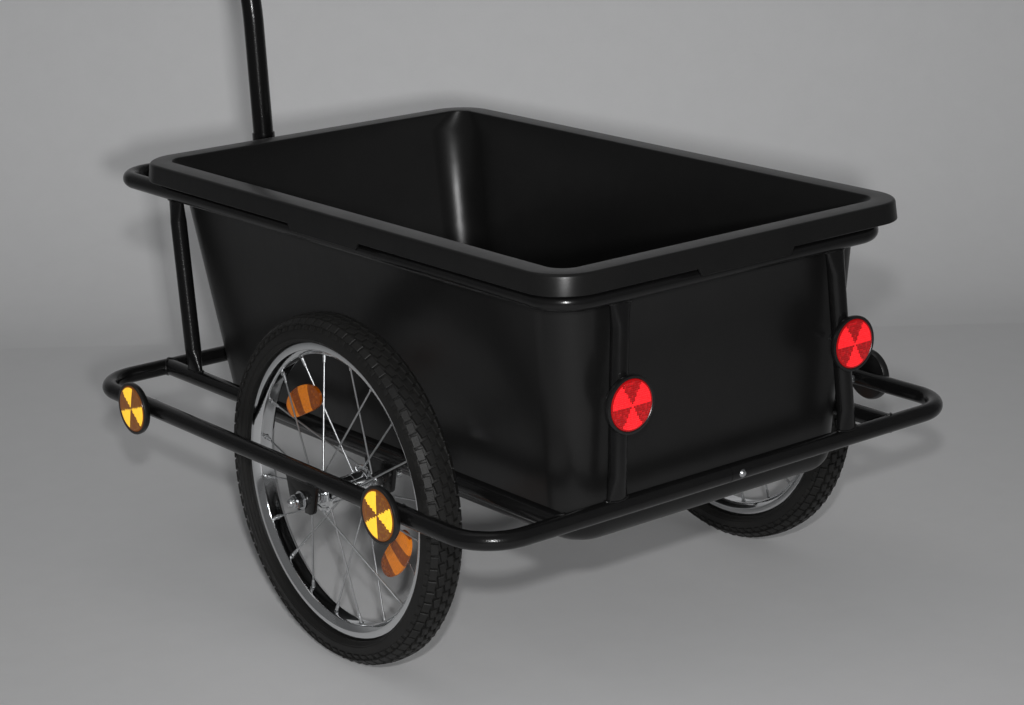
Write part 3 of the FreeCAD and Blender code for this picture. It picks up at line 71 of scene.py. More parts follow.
# Sizes and colours that a user would change


def length(label, note, default):
    return FloatProperty(
        name=label, description=note, default=default, unit="LENGTH", subtype="DISTANCE", precision=4,
    )


def angle(label, note, degrees):
    return FloatProperty(
        name=label, description=note, default=math.radians(degrees), unit="ROTATION", subtype="ANGLE",
    )


def count(label, note, default):
    return IntProperty(name=label, description=note, default=default, min=1)


def colour(label, note, default):
    return FloatVectorProperty(
        name=label, description=note, default=default, subtype="COLOR", size=3, min=0, max=1,
    )


class TrailerTubeSizes(bpy.types.PropertyGroup):
    tube_radius: length("Tube radius", "Outer radius of the frame tubes", 0.009525)
    ring_height: length("Lower ring height", "Centre of the lower ring above the floor", 0.2206)
    ring_rear: length("Lower ring rear", "Lower ring behind the axle", 0.3068)
    ring_front: length("Lower ring front", "Lower ring ahead of the axle", 0.4353)
    ring_half: length("Lower ring half width", "Lower ring from the middle", 0.3305)
    ring_corner: length("Lower ring corner", "Bend radius of the lower ring", 0.050)
    seam_offset: length("Seam offset", "Seam of the lower ring left of the middle", 0.014)
    seam_gap: length("Seam gap", "Open line between the two halves", 0.0007)
    rail_half: length("Rail half width", "Inner rails from the middle", 0.2305)
    upper_height: length("Upper ring height", "Centre of the upper ring above the floor", 0.4368)
    upper_rear: length("Upper ring rear", "Upper ring behind the axle", 0.3003)
    upper_front: length("Upper ring front", "Upper ring ahead of the axle", 0.5355)
    upper_half: length("Upper ring half width", "Upper ring from the middle", 0.224)
    upper_corner: length("Upper ring corner", "Bend radius of the upper ring", 0.038)
    front_foot: length("Front post foot", "Front posts ahead of the axle, below", 0.3724)
    front_head: length("Front post head", "Front posts ahead of the axle, above", 0.4052)
    rear_foot: length("Rear post foot", "Rear posts from the middle, below", 0.1628)
    rear_head: length("Rear post head", "Rear posts from the middle, above", 0.1477)
    flat_long: length("Flattened end", "Half width of a flattened post end", 0.0142)
    flat_short: length("Flattened end depth", "Half depth of a flattened post end", 0.0046)
    plate_top: length("Plate top", "Half width of an axle plate at its tube", 0.030)
    plate_half: length("Plate thickness", "Half the thickness of an axle plate", 0.0025)
    weld_radius: length("Weld bead", "Radius of the weld beads", 0.0016)
    sides: count("Sides", "Faces round each tube", 32)


class TrailerWheelSizes(bpy.types.PropertyGroup):
    tyre_radius: length("Tyre radius", "Tread blocks' tops from the axle", 0.190)
    tread_depth: length("Tread depth", "Height of the tread blocks", 0.0026)
    tyre_half: length("Tyre half width", "Widest place of the tyre", 0.0215)
    tread_blocks: count("Tread blocks", "Blocks in each row of the tread", 82)
    side_blocks: count("Side blocks", "Lugs on each shoulder", 82)
    rim_radius: length("Rim radius", "Outer edge of the rim", 0.1605)
    rim_half: length("Rim half width", "Half width of the rim", 0.014)
    rim_depth: length("Rim depth", "Depth of the rim towards the hub", 0.014)
    flange_radius: length("Flange radius", "Radius of the hub flanges", 0.020)
    flange_span: length("Flange span", "Outer face of a flange from the middle", 0.0285)
    flange_thickness: length("Flange thickness", "Thickness of a hub flange", 0.003)
    flange_taper: length("Flange taper", "How far a flange thins at its edge", 0.001)
    barrel_radius: length("Barrel radius", "Radius of the hub between its flanges", 0.013)
    hole_radius: length("Hole circle", "Circle of spoke holes in the flanges", 0.017)
    spoke_radius: length("Spoke radius", "Radius of a spoke", 0.001)
    spoke_fit: length("Spoke fit", "Gap between a spoke and the flange", 0.00015)
    spokes: count("Spokes", "Spokes in each wheel", 20)
    first_hole: angle("First rim hole", "Place of the first rim hole", 9.0)
    clip_inner: length("Clip reflector inside", "Spoke reflector's inner radius", 0.092)
    clip_outer: length("Clip reflector outside", "Spoke reflector's outer radius", 0.122)
    clip_half: length("Clip reflector thickness", "Half its thickness", 0.0028)
    clip_span: angle("Clip reflector span", "Angle that a spoke reflector fills", 38.0)
    clip_turn: angle("Clip reflector turn", "Turn about its own middle", 13.0)


class TrailerAxleSizes(bpy.types.PropertyGroup):
    axle_radius: length("Axle radius", "Radius of the axle bars", 0.00475)
    outer_reach: length("Outer reach", "Axle bar outward from the wheel's middle", 0.067)
    inner_reach: length("Inner reach", "Axle bar inward from the wheel's middle", 0.0745)
    cone_start: length("Cone start", "Cones' inner ends", 0.018)
    cone_end: length("Cone end", "Cones' outer ends", 0.038)
    cone_radius: length("Cone radius", "Radius of the cones", 0.00895)
    plate_inner: length("Plate inner face", "Plate face towards the wheel", 0.0475)
    plate_outer: length("Plate outer face", "Plate face away from the wheel", 0.0525)
    nut_radius: length("Nut radius", "Axle nuts over their corners", 0.0086)
    nut_height: length("Nut height", "Height of the axle nuts", 0.0075)
    washer_radius: length("Washer radius", "Radius of the washers", 0.010)
    washer_height: length("Washer height", "Thickness of the washers", 0.0016)
    cap_radius: length("Cap radius", "Radius of the domed caps", 0.0064)
    cap_height: length("Cap height", "Height of the domed caps", 0.0085)


class TrailerTubSizes(bpy.types.PropertyGroup):
    floor_height: length("Floor height", "Underside of the tub's floor", 0.1717)
    floor_rear: length("Floor rear", "Tub floor behind the axle", 0.275)
    floor_front: length("Floor front", "Tub floor ahead of the axle", 0.3743)
    floor_half: length("Floor half width", "Tub floor from the middle", 0.1902)
    floor_corner: length("Floor corner", "Corner radius at the floor", 0.042)
    floor_edge: length("Floor edge", "Rounding where walls meet the floor", 0.022)
    neck_rear: length("Neck rear", "Tub wall under the rim, behind the axle", 0.2905)
    neck_front: length("Neck front", "Tub wall under the rim, ahead of the axle", 0.4345)
    neck_half: length("Neck half width", "Tub wall under the rim, from the middle", 0.2152)
    neck_corner: length("Neck corner", "Corner radius under the rim", 0.046)
    rim_top: length("Rim top", "Top of the rim above the floor", 0.4715)
    rim_rear: length("Rim rear", "Rim behind the axle", 0.3247)
    rim_front: length("Rim front", "Rim ahead of the axle", 0.4605)
    rim_half: length("Rim half width", "Rim from the middle", 0.2451)
    rim_corner: length("Rim corner", "Outer corner radius of the rim", 0.048)
    rim_band: length("Rim band", "Width of the rim's top band", 0.0266)
    skirt_lean: length("Skirt lean", "How far the skirt's foot stands out", 0.0018)
    skirt_depth: length("Skirt depth", "Depth of the rim's skirt", 0.0215)
    skirt_wall: length("Skirt wall", "Thickness of the skirt", 0.003)
    wall: length("Wall", "Thickness of the tub's walls", 0.0035)
    lip_half: length("Lip half length", "Deeper middle part of the skirt", 0.061)
    lip_depth: length("Lip depth", "How far the lips hang below the skirt", 0.008)
    corner_steps: count("Corner steps", "Faces round each corner", 14)


class TrailerReflectorSizes(bpy.types.PropertyGroup):
    housing_radius: length("Housing radius", "Radius of the reflector cups", 0.030)
    housing_depth: length("Housing depth", "Depth of the reflector cups", 0.009)
    boss_radius: length("Boss radius", "Boss behind a cup", 0.007)
    boss_height: length("Boss height", "Cup's back from the tube's face", 0.0015)
    lens_radius: length("Lens radius", "Radius of the lenses", 0.0265)
    lens_depth: length("Lens depth", "Depth of a lens in its cup", 0.0035)
    lens_crown: length("Lens crown", "How far a lens bulges", 0.0006)
    side_front: length("Side front", "Front side reflectors ahead of the axle", 0.316)
    side_rear: length("Side rear", "Rear side reflectors behind the axle", 0.163)
    rear_height: length("Rear height", "Rear reflectors above the floor", 0.329)
    stud_radius: length("Stud radius", "Radius of the fixing studs", 0.0025)
    nut_radius: length("Nut radius", "Fixing nuts over their corners", 0.0046)
    nut_height: length("Nut height", "Height of the fixing nuts", 0.004)
    lean_fit: length("Lean fit", "Gap at the leaning rear posts", 0.00025)
    facets: length("Prism size", "Size of the small prisms in a lens", 0.0022)


class TrailerDrawbarSizes(bpy.types.PropertyGroup):
    radius: length("Drawbar radius", "Outer radius of the drawbar", 0.0127)
    lean: angle("Lean", "How far the drawbar leans forward", 3.63)
    bend: angle("Bend", "How far the drawbar is bent", 84.0)
    bend_radius: length("Bend radius", "Radius of the drawbar's bend", 0.235)
    straight: length("Straight part", "Straight part from the foot", 0.385)
    run: length("Run", "Straight part after the bend", 0.270)
    grip_start: length("Grip start", "Grip from the start of the run", 0.035)
    grip_length: length("Grip length", "Length of the grip", 0.120)
    grip_wall: length("Grip wall", "Thickness of the grip", 0.0045)
    socket_radius: length("Socket radius", "Outer radius of the socket", 0.0143)
    socket_low: length("Socket foot", "Lower end of the socket above the floor", 0.205)
    foot_rise: length("Foot rise", "Drawbar's foot above the socket's end", 0.0033)


class TrailerColours(bpy.types.PropertyGroup):
    enamel: colour("Enamel", "Black enamel of the tubes", (0.004, 0.004, 0.0043))
    tub: colour("Tub", "Black plastic of the tub", (0.006, 0.006, 0.0062))
    rubber: colour("Rubber", "Black rubber of the tyres", (0.0065, 0.0065, 0.0065))
    housing: colour("Housing", "Black plastic of housings and knob", (0.005, 0.005, 0.0055))
    chrome: colour("Chrome", "Rims and hubs", (0.78, 0.79, 0.8))
    zinc: colour("Zinc", "Nuts, studs, spokes and axles", (0.6, 0.61, 0.62))
    alloy: colour("Alloy", "Cast clamp", (0.5, 0.5, 0.51))
    # the lit and deep lens colours are painted light and shade: the lamps' light that the prisms send back,
    # and their shade, set into the colour
    red_painted_lit: colour("Red, lit", "Prisms that face the viewer", (0.95, 0.012, 0.018))
    red_painted_shade: colour("Red, deep", "Prisms that face away", (0.27, 0.001, 0.002))
    amber_painted_lit: colour("Amber, lit", "Prisms that face the viewer", (1.0, 0.6, 0.03))
    amber_painted_shade: colour("Amber, deep", "Prisms that face away", (0.13, 0.035, 0.001))
    clip_painted_lit: colour("Clip amber, lit", "Bright prisms of the spoke reflectors", (0.72, 0.2, 0.006))
    clip_painted_shade: colour("Clip amber, deep", "Deep prisms of the spoke reflectors", (0.2, 0.042, 0.001))
    floor: colour("Floor", "Floor of the studio", (0.86, 0.86, 0.865))


# Small helpers for trees, meshes and pieces


def add_node(tree, kind, inputs=None, **settings):
    """A node with its settings made and its inputs linked or set, by name or number."""
    node = tree.nodes.new(kind)
    for name, value in settings.items():
        setattr(node, name, value)
    for name, value in (inputs or {}).items():
        if isinstance(value, bpy.types.NodeSocket):
            tree.links.new(value, node.inputs[name])
        else:
            node.inputs[name].default_value = value
    return node


def new_tree(name, kind, inputs, outputs):
    """A node group with named sockets; inputs are (name, kind of socket, default)."""
    tree = bpy.data.node_groups.new(name, kind)
    for label, socket, default in inputs:
        item = tree.interface.new_socket(name=label, in_out="INPUT", socket_type="NodeSocket" + socket)
        if default is not None:
            item.default_value = default
    for label, socket in outputs:
        tree.interface.new_socket(name=label, in_out="OUTPUT", socket_type="NodeSocket" + socket)
    return tree, tree.nodes.new("NodeGroupInput").outputs, tree.nodes.new("NodeGroupOutput").inputs


def maths(tree, operation, first, second=0.0, third=None):
    inputs = {0: first, 1: second}
    if third is not None:
        inputs[2] = third
    return add_node(tree, "ShaderNodeMath", inputs, operation=operation).outputs[0]


def vector_maths(tree, operation, first, second):
    inputs = {0: first, "Scale" if operation == "SCALE" else 1: second}
    return add_node(tree, "ShaderNodeVectorMath", inputs, operation=operation).outputs[0]


def noise(tree, place, scale, detail, **more):
    inputs = {"Vector": place, "Scale": scale, "Detail": detail, **more}
    return add_node(tree, "ShaderNodeTexNoise", inputs).outputs


def mixed(tree, share, low, high, **settings):
    inputs = {0: share, 6: low, 7: high}
    return add_node(tree, "ShaderNodeMix", inputs, data_type="RGBA", **settings).outputs[2]


def smooth(mesh, degrees=32.0):
    """Smooth faces with crisp edges where the surface turns by more than an angle."""
    for face in mesh.polygons:
        face.use_smooth = True
    mesh.set_sharp_from_angle(angle=math.radians(degrees))


def new_object(name, mesh, material=None):
    piece = bpy.data.objects.new(name, mesh)
    bpy.context.scene.collection.objects.link(piece)
    if material is not None:
        mesh.materials.clear()
        mesh.materials.append(material)
    return piece


def finished_mesh(name, shape, turned_out=True):
    if turned_out:
        bmesh.ops.recalc_face_normals(shape, faces=shape.faces)
    mesh = bpy.data.meshes.new(name)
    shape.to_mesh(mesh)
    shape.free()
    return mesh


def bake(piece):
    """Applies a piece's modifiers and leaves a plain mesh."""
    graph = bpy.context.evaluated_depsgraph_get()
    mesh = bpy.data.meshes.new_from_object(piece.evaluated_get(graph))
    old = piece.data
    piece.modifiers.clear()
    piece.data = mesh
    mesh.name = piece.name
    bpy.data.meshes.remove(old)
    return piece


def run_tree(piece, tree, values):
    modifier = piece.modifiers.new(tree.name, "NODES")
    modifier.node_group = tree
    for item in tree.interface.items_tree:
        if item.item_type == "SOCKET" and item.in_out == "INPUT" and item.name in values:
            modifier[item.identifier] = values[item.name]
    return bake(piece)


def settle(piece, body, slot, *nodes, degrees=32.0):
    """Smooths a piece, names its body, and lets it stand for its nodes; the slot is not used."""
    smooth(piece.data, degrees)
    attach(piece, body)
    if nodes:
        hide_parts(*nodes)
    return piece


def shape_piece(name, shape, material, body, slot, *nodes, degrees=32.0):
    piece = new_object(name, finished_mesh(name, shape), material)
    return settle(piece, body, slot, *nodes, degrees=degrees)


def gathered(pieces):
    """One shape from the meshes of several pieces, which it uses up."""
    shape = bmesh.new()
    for piece in pieces:
        old = piece.data
        shape.from_mesh(old)
        bpy.data.objects.remove(piece)
        bpy.data.meshes.remove(old)
    return shape


def joined(name, pieces):
    """One mesh piece from several, with the first one's material."""
    material = pieces[0].data.materials[0]
    mesh = finished_mesh(name, gathered(pieces), turned_out=False)
    for face in mesh.polygons:
        face.material_index = 0
    return new_object(name, mesh, material)


def facing(point, out, up=UP):
    """A place whose Z looks outward and whose X is the viewer's right."""
    out = out.normalized()
    right = up.cross(out).normalized()
    turn = Matrix((right, out.cross(right), out)).transposed().to_4x4()
    return Matrix.Translation(point) @ turn


def turn_profile(shape, profile, sides, place, closed=False, face_map=None):
    """Turns (radius, reach) pairs about a place's own Z; a profile may vary with angle."""
    profile_at = profile if callable(profile) else lambda turn: profile
    rings = []
    local = {}
    for step, (start_radius, start_reach) in enumerate(profile_at(0.0)):
        spots = [Vector((0, 0, start_reach))]
        if start_radius != 0:
            spots = []
            for side in range(sides):
                turn = FULL_TURN * side / sides
                radius, reach = profile_at(turn)[step]
                spots.append(Vector((radius * math.cos(turn), radius * math.sin(turn), reach)))
        ring = [shape.verts.new(place @ spot) for spot in spots]
        local.update(zip(ring, spots))
        rings.append(ring)
    pairs = list(zip(rings, rings[1:]))
    if closed:
        pairs.append((rings[-1], rings[0]))
    for near, far in pairs:
        for side in range(sides):
            after = (side + 1) % sides
            corners = []
            for ring, spot in ((near, side), (near, after), (far, after), (far, side)):
                vertex = ring[spot % len(ring)]
                if vertex not in corners:
                    corners.append(vertex)
            if len(corners) < 3:
                continue
            face = shape.faces.new(corners)
            if face_map is not None:
                layer, scale = face_map
                for loop in face.loops:
                    spot = local[loop.vert]
                    loop[layer].uv = (spot.x / scale, spot.y / scale)
    return shape


def bridge(shape, low, high):
    """A closed band of faces between two rings of points."""
    for item in range(len(low)):
        after = (item + 1) % len(low)
        shape.faces.new((low[item], low[after], high[after], high[item]))


def mirrored(profile):
    """The other half of a profile, from its end back to its start."""
    return [(radius, -aside) for radius, aside in reversed(profile)]


def nut_profile(radius, bore, height):
    """Profile of a hexagon nut with its corners turned off, by angle."""
    flat = radius * math.cos(math.pi / 6)
    crown = radius * 0.94

    def profile(turn):
        reach = flat / math.cos((turn % (math.pi / 3)) - math.pi / 6)
        chamfer = max(0.0, reach - crown) * 0.55
        return [
            (bore, 0.0), (min(reach, crown), 0.0), (reach, chamfer), (reach, height - chamfer),
            (min(reach, crown), height), (bore, height),
        ]

    return profile


def wheel_place(side, outward=1):
    """The wheel's middle, with Z along the axle: away from the trailer, or to it."""
    return facing(WHEEL_CENTRES[side], LEFTWARD * dict(SIDES)[side] * outward)


# Geometry trees


def round_skin(tree, curve, sides, radius):
    """A closed round skin along a curve."""
    ring = add_node(tree, "GeometryNodeCurvePrimitiveCircle", {"Resolution": sides, "Radius": radius})
    inputs = {"Curve": curve, "Profile Curve": ring.outputs[0], "Fill Caps": True}
    return add_node(tree, "GeometryNodeCurveToMesh", inputs).outputs[0]


def end_tree(tree, geometry, finish, made):
    """Ends a geometry tree with real faces that carry their material."""
    solid = add_node(tree, "GeometryNodeRealizeInstances", {"Geometry": geometry})
    coat = add_node(tree, "GeometryNodeSetMaterial", {"Geometry": solid.outputs[0], "Material": finish})
    tree.links.new(coat.outputs[0], made)
    return tree


def tube_tree():
    """Sweeps a round tube along a path of straight runs, with rounded bends."""
    tree, given, made = new_tree(
        "swept_tube", "GeometryNodeTree",
        [
            ("Path", "Geometry", None), ("Tube radius", "Float", 0.009525), ("Bend radius", "Float", 0.05),
            ("Bend steps", "Int", 16), ("Sides", "Int", 32), ("Finish", "Material", None),
        ],
        [("Tube", "Geometry")],
    )
    line = add_node(tree, "GeometryNodeMeshToCurve", {"Mesh": given["Path"]}).outputs[0]
    bends = add_node(
        tree, "GeometryNodeFilletCurve",
        {"Curve": line, "Count": given["Bend steps"], "Radius": given["Bend radius"], "Limit Radius": True},
        mode="POLY",
    )
    skin = round_skin(tree, bends.outputs[0], given["Sides"], given["Tube radius"])
    return end_tree(tree, skin, given["Finish"], made["Tube"])


def weld_tree():
    """A rippled weld bead along a path."""
    tree, given, made = new_tree(
        "weld_bead", "GeometryNodeTree",
        [
            ("Path", "Geometry", None), ("Bead radius", "Float", 0.0016),
            ("Ripple spacing", "Float", 0.0016), ("Ripple height", "Float", 0.0003),
            ("Seed", "Int", 4), ("Finish", "Material", None),
        ],
        [("Bead", "Geometry")],
    )
    line = add_node(tree, "GeometryNodeMeshToCurve", {"Mesh": given["Path"]}).outputs[0]
    spacing = maths(tree, "MULTIPLY", given["Ripple spacing"], 0.5)
    fine = add_node(tree, "GeometryNodeResampleCurve", {"Curve": line, "Length": spacing}, mode="LENGTH")
    skin = round_skin(tree, fine.outputs[0], 8, given["Bead radius"])
    place = add_node(tree, "GeometryNodeInputPosition").outputs[0]
    scale = maths(tree, "DIVIDE", 0.7, given["Ripple spacing"])
    inputs = {"Vector": place, "Scale": scale, "Detail": 1.0, "W": given["Seed"]}
    ripple = add_node(tree, "ShaderNodeTexNoise", inputs, noise_dimensions="4D").outputs[0]
    height = maths(tree, "MULTIPLY", given["Ripple height"], 4.0)
    swell = maths(tree, "MULTIPLY", maths(tree, "SUBTRACT", ripple, 0.5), height)
    push = vector_maths(tree, "SCALE", add_node(tree, "GeometryNodeInputNormal").outputs[0], swell)
    rippled = add_node(tree, "GeometryNodeSetPosition", {"Geometry": skin, "Offset": push})
    return end_tree(tree, rippled.outputs[0], given["Finish"], made["Bead"])


def repeat_tree():
    """Repeats a piece round a centre, along a line, or both at once."""
    tree, given, made = new_tree(
        "repeat_piece", "GeometryNodeTree",
        [
            ("Piece", "Geometry", None), ("Count", "Int", 5), ("Centre", "Vector", None),
            ("Step", "Vector", None), ("Turn", "Vector", None), ("Finish", "Material", None),
        ],
        [("Pieces", "Geometry")],
    )
    index = add_node(tree, "GeometryNodeInputIndex").outputs[0]
    spot = vector_maths(tree, "ADD", given["Centre"], vector_maths(tree, "SCALE", given["Step"], index))
    turn = vector_maths(tree, "SCALE", given["Turn"], index)
    spots = add_node(tree, "GeometryNodePoints", {"Count": given["Count"], "Position": spot}).outputs[0]
    inputs = {"Points": spots, "Instance": given["Piece"], "Rotation": turn}
    copies = add_node(tree, "GeometryNodeInstanceOnPoints", inputs).outputs[0]
    return end_tree(tree, copies, given["Finish"], made["Pieces"])


def kept_tree(name, maker):
    return bpy.data.node_groups.get(name) or maker()


def path_piece(name, points, closed):
    mesh = bpy.data.meshes.new(name)
    edges = [(place, place + 1) for place in range(len(points) - 1)]
    if closed:
        edges.append((len(points) - 1, 0))
    mesh.from_pydata([tuple(point) for point in points], edges, [])
    return new_object(name, mesh)


def swept(name, points, coat, radius, bend=0.0, steps=16, sides=32, closed=False):
    values = {
        "Tube radius": radius, "Bend radius": bend, "Bend steps": steps, "Sides": sides, "Finish": coat,
    }
    return run_tree(path_piece(name, points, closed), kept_tree("swept_tube", tube_tree), values)


def repeated(name, shape, coat, number, centre, step=(0, 0, 0), turn=(0, 0, 0)):
    values = {"Count": number, "Centre": tuple(centre), "Step": step, "Turn": turn, "Finish": coat}
    piece = new_object(name, finished_mesh(name, shape))
    return run_tree(piece, kept_tree("repeat_piece", repeat_tree), values)


# Shader groups


def marks_group():
    """Handling marks: soft blotches and fine scratches that change the gloss."""
    tree, given, made = new_tree(
        "handling_marks", "ShaderNodeTree",
        [
            ("Place", "Vector", None), ("Gloss", "Float", 0.3), ("Spread", "Float", 0.08),
            ("Blotch size", "Float", 0.05), ("Scratches", "Float", 0.4),
        ],
        [("Roughness", "Float")],
    )
    blotch = noise(tree, given["Place"], maths(tree, "DIVIDE", 1.0, given["Blotch size"]), 3.0)
    bent = vector_maths(tree, "ADD", given["Place"], blotch["Color"])
    scratch = noise(tree, bent, 900.0, 1.0, Distortion=1.5)[0]
    lines = maths(tree, "MULTIPLY", maths(tree, "GREATER_THAN", scratch, 0.72), given["Scratches"])
    uneven = maths(tree, "SUBTRACT", blotch[0], 0.5)
    spread = maths(tree, "MULTIPLY", given["Spread"], 2.0)
    soft = maths(tree, "MULTIPLY_ADD", uneven, spread, given["Gloss"])
    rough = maths(tree, "MULTIPLY_ADD", lines, given["Spread"], soft)
    tree.links.new(rough, made["Roughness"])
    return tree


def grain_group():
    """Fine moulded or sprayed grain."""
    tree, given, made = new_tree(
        "moulded_grain", "ShaderNodeTree",
        [
            ("Place", "Vector", None), ("Grain size", "Float", 0.0008),
            ("Waviness size", "Float", 0.02), ("Waviness", "Float", 0.5),
        ],
        [("Height", "Float")],
    )
    grain = noise(tree, given["Place"], maths(tree, "DIVIDE", 1.0, given["Grain size"]), 2.0)[0]
    wave = noise(tree, given["Place"], maths(tree, "DIVIDE", 1.0, given["Waviness size"]), 1.0)[0]
    tree.links.new(maths(tree, "MULTIPLY_ADD", wave, given["Waviness"], grain), made["Height"])
    return tree


def dust_group():
    """A thin veil of pale dust over a colour."""
    tree, given, made = new_tree(
        "dust_veil", "ShaderNodeTree",
        [
            ("Place", "Vector", None), ("Colour", "Color", (0.01, 0.01, 0.01, 1)),
            ("Dust", "Color", (0.1, 0.095, 0.085, 1)), ("Amount", "Float", 0.05),
        ],
        [("Colour", "Color")],
    )
    cloud = noise(tree, given["Place"], 22.0, 6.0, Roughness=0.65)[0]
    fleck = noise(tree, given["Place"], 700.0, 1.0)[0]
    cover = maths(tree, "MULTIPLY", cloud, fleck)
    share = maths(tree, "MULTIPLY", cover, maths(tree, "MULTIPLY", given["Amount"], 4.0))
    tree.links.new(mixed(tree, share, given["Colour"], given["Dust"]), made["Colour"])
    return tree


def prism_group():
    """Sectors of small prisms painted lit and deep in turn, with painted glints, drawn on a lens's own face
    map.
    """
    tree, given, made = new_tree(
        "prism_sectors", "ShaderNodeTree",
        [
            ("Face", "Vector", None), ("Bright", "Color", (0.9, 0.4, 0.02, 1)),
            ("Deep", "Color", (0.2, 0.04, 0.0, 1)), ("Sectors", "Float", 3.0), ("Start", "Float", 0.0),
            ("Prisms", "Float", 19.0), ("Sparkle", "Float", 0.3), ("Bands", "Float", 0.0),
        ],
        [("Colour", "Color"), ("Height", "Float")],
    )
    split = add_node(tree, "ShaderNodeSeparateXYZ", {0: given["Face"]}).outputs
    cells = add_node(
        tree, "ShaderNodeTexVoronoi",
        {"Vector": given["Face"], "Scale": given["Prisms"], "Randomness": 0.12},
        voronoi_dimensions="2D", feature="F1",
    ).outputs
    snapped = add_node(tree, "ShaderNodeSeparateXYZ", {0: cells["Position"]}).outputs
    # painted light and shade: whole sectors, or bands on the clip reflectors, take the lit or the deep
    # colour
    turn = maths(tree, "ARCTAN2", snapped[1], snapped[0])
    share = maths(tree, "DIVIDE", maths(tree, "ADD", turn, given["Start"]), FULL_TURN)
    around = maths(tree, "MULTIPLY", maths(tree, "ADD", share, 2.0), given["Sectors"])
    along = maths(tree, "MULTIPLY_ADD", snapped[0], given["Bands"], 8.0)
    lit = maths(tree, "LESS_THAN", maths(tree, "FRACT", maths(tree, "ADD", around, along)), 0.5)
    chance = add_node(tree, "ShaderNodeSeparateColor", {0: cells["Color"]}).outputs[0]
    # painted glints: random prisms are pushed towards the lit or the deep colour
    glint = maths(tree, "MULTIPLY", maths(tree, "SUBTRACT", chance, 0.5), given["Sparkle"])
    share = maths(tree, "ADD", lit, glint)
    tone = mixed(tree, share, given["Deep"], given["Bright"], clamp_factor=True)
    squares = [maths(tree, "MULTIPLY", split[axis], split[axis]) for axis in (0, 1)]
    # painted shade: the lens's outer edge takes the deep colour
    inside = maths(tree, "LESS_THAN", maths(tree, "SQRT", maths(tree, "ADD", *squares)), 0.93)
    tree.links.new(mixed(tree, inside, given["Deep"], tone), made["Colour"])
    tree.links.new(maths(tree, "MULTIPLY", cells["Distance"], inside), made["Height"])
    return tree


GROUPS = {
    "handling_marks": marks_group,
    "moulded_grain": grain_group,
    "dust_veil": dust_group,
    "prism_sectors": prism_group,
}


def group_node(material, name, inputs):
    tree = kept_tree(name, GROUPS[name])
    return add_node(material.node_tree, "ShaderNodeGroup", inputs, node_tree=tree).outputs


def new_material(name, **values):
    """A material with a Principled shader whose even values sit on its own sockets."""
    material = bpy.data.materials.new(name)
    material.use_nodes = True
    shader = material.node_tree.nodes["Principled BSDF"]
    for label, value in values.items():
        shader.inputs[label.replace("_", " ")].default_value = value
    return material, shader, add_node(material.node_tree, "ShaderNodeTexCoord").outputs["Object"]


def link(material, output, shader, label):
    material.node_tree.links.new(output, shader.inputs[label])


def bump(material, shader, height, distance):
    node = add_node(material.node_tree, "ShaderNodeBump", {"Height": height, "Distance": distance})
    link(material, node.outputs[0], shader, "Normal")


def solid_colour(values):
    return (*values, 1.0)


def finish(name):
    return bpy.data.materials[name]


def veil(material, shader, place, tone, amount, shade=None):
    """A tone under dust, which is pale, or the tone itself in a darker shade."""
    inputs = {"Place": place, "Colour": solid_colour(tone), "Amount": amount}
    if shade is not None:
        inputs["Dust"] = solid_colour([value * shade for value in tone])
    link(material, group_node(material, "dust_veil", inputs)["Colour"], shader, "Base Color")


def coated(name, tone, gloss, spread, grain, depth, waviness=0.5, dust=0.03, shade=None, **values):
    """A grained finish with handling marks; metals have smaller blotches and darker dust."""
    material, shader, place = new_material(name, **values)
    inputs = {"Place": place, "Gloss": gloss, "Spread": spread, "Blotch size": 0.02 if shade else 0.05}
    marks = group_node(material, "handling_marks", inputs)
    link(material, marks["Roughness"], shader, "Roughness")
    veil(material, shader, place, tone, dust, shade)
    inputs = {"Place": place, "Grain size": grain, "Waviness": waviness}
    bump(material, shader, group_node(material, "moulded_grain", inputs)["Height"], depth)


def metal(name, tone, gloss, spread, grain, depth, waviness=0.3):
    coated(name, tone, gloss, spread, grain, depth, waviness, 0.12, 0.55, Metallic=1.0)


def threaded(name, tone):
    """Plated steel with fine turns of thread along Y."""
    material, shader, place = new_material(name, Metallic=1.0, Roughness=0.26)
    veil(material, shader, place, tone, 0.2, 0.4)
    inputs = {"Vector": place, "Scale": 314.0}
    turns = add_node(material.node_tree, "ShaderNodeTexWave", inputs, bands_direction="Y")
    bump(material, shader, turns.outputs["Fac"], 0.0005)


def prism_lens(name, bright, deep, prisms, painted_glow, **pattern):
    """A lens of prisms painted lit and shaded; painted_glow is its emission, a painted glow in place of the
    lamps' light sent straight back.
    """
    values = {"Roughness": 0.16, "Coat_Weight": 0.2, "Coat_Roughness": 0.05, "IOR": 1.49}
    material, shader = new_material(name, **values, Emission_Strength=painted_glow)[:2]
    face = add_node(material.node_tree, "ShaderNodeUVMap", uv_map="face").outputs[0]
    inputs = {"Face": face, "Bright": solid_colour(bright), "Deep": solid_colour(deep), "Prisms": prisms}
    prism = group_node(material, "prism_sectors", {**inputs, **pattern})
    link(material, prism["Colour"], shader, "Base Color")
    # painted glow: the lens emits its own painted lit and deep colour
    link(material, prism["Colour"], shader, "Emission Color")
    bump(material, shader, prism["Height"], 0.0006)


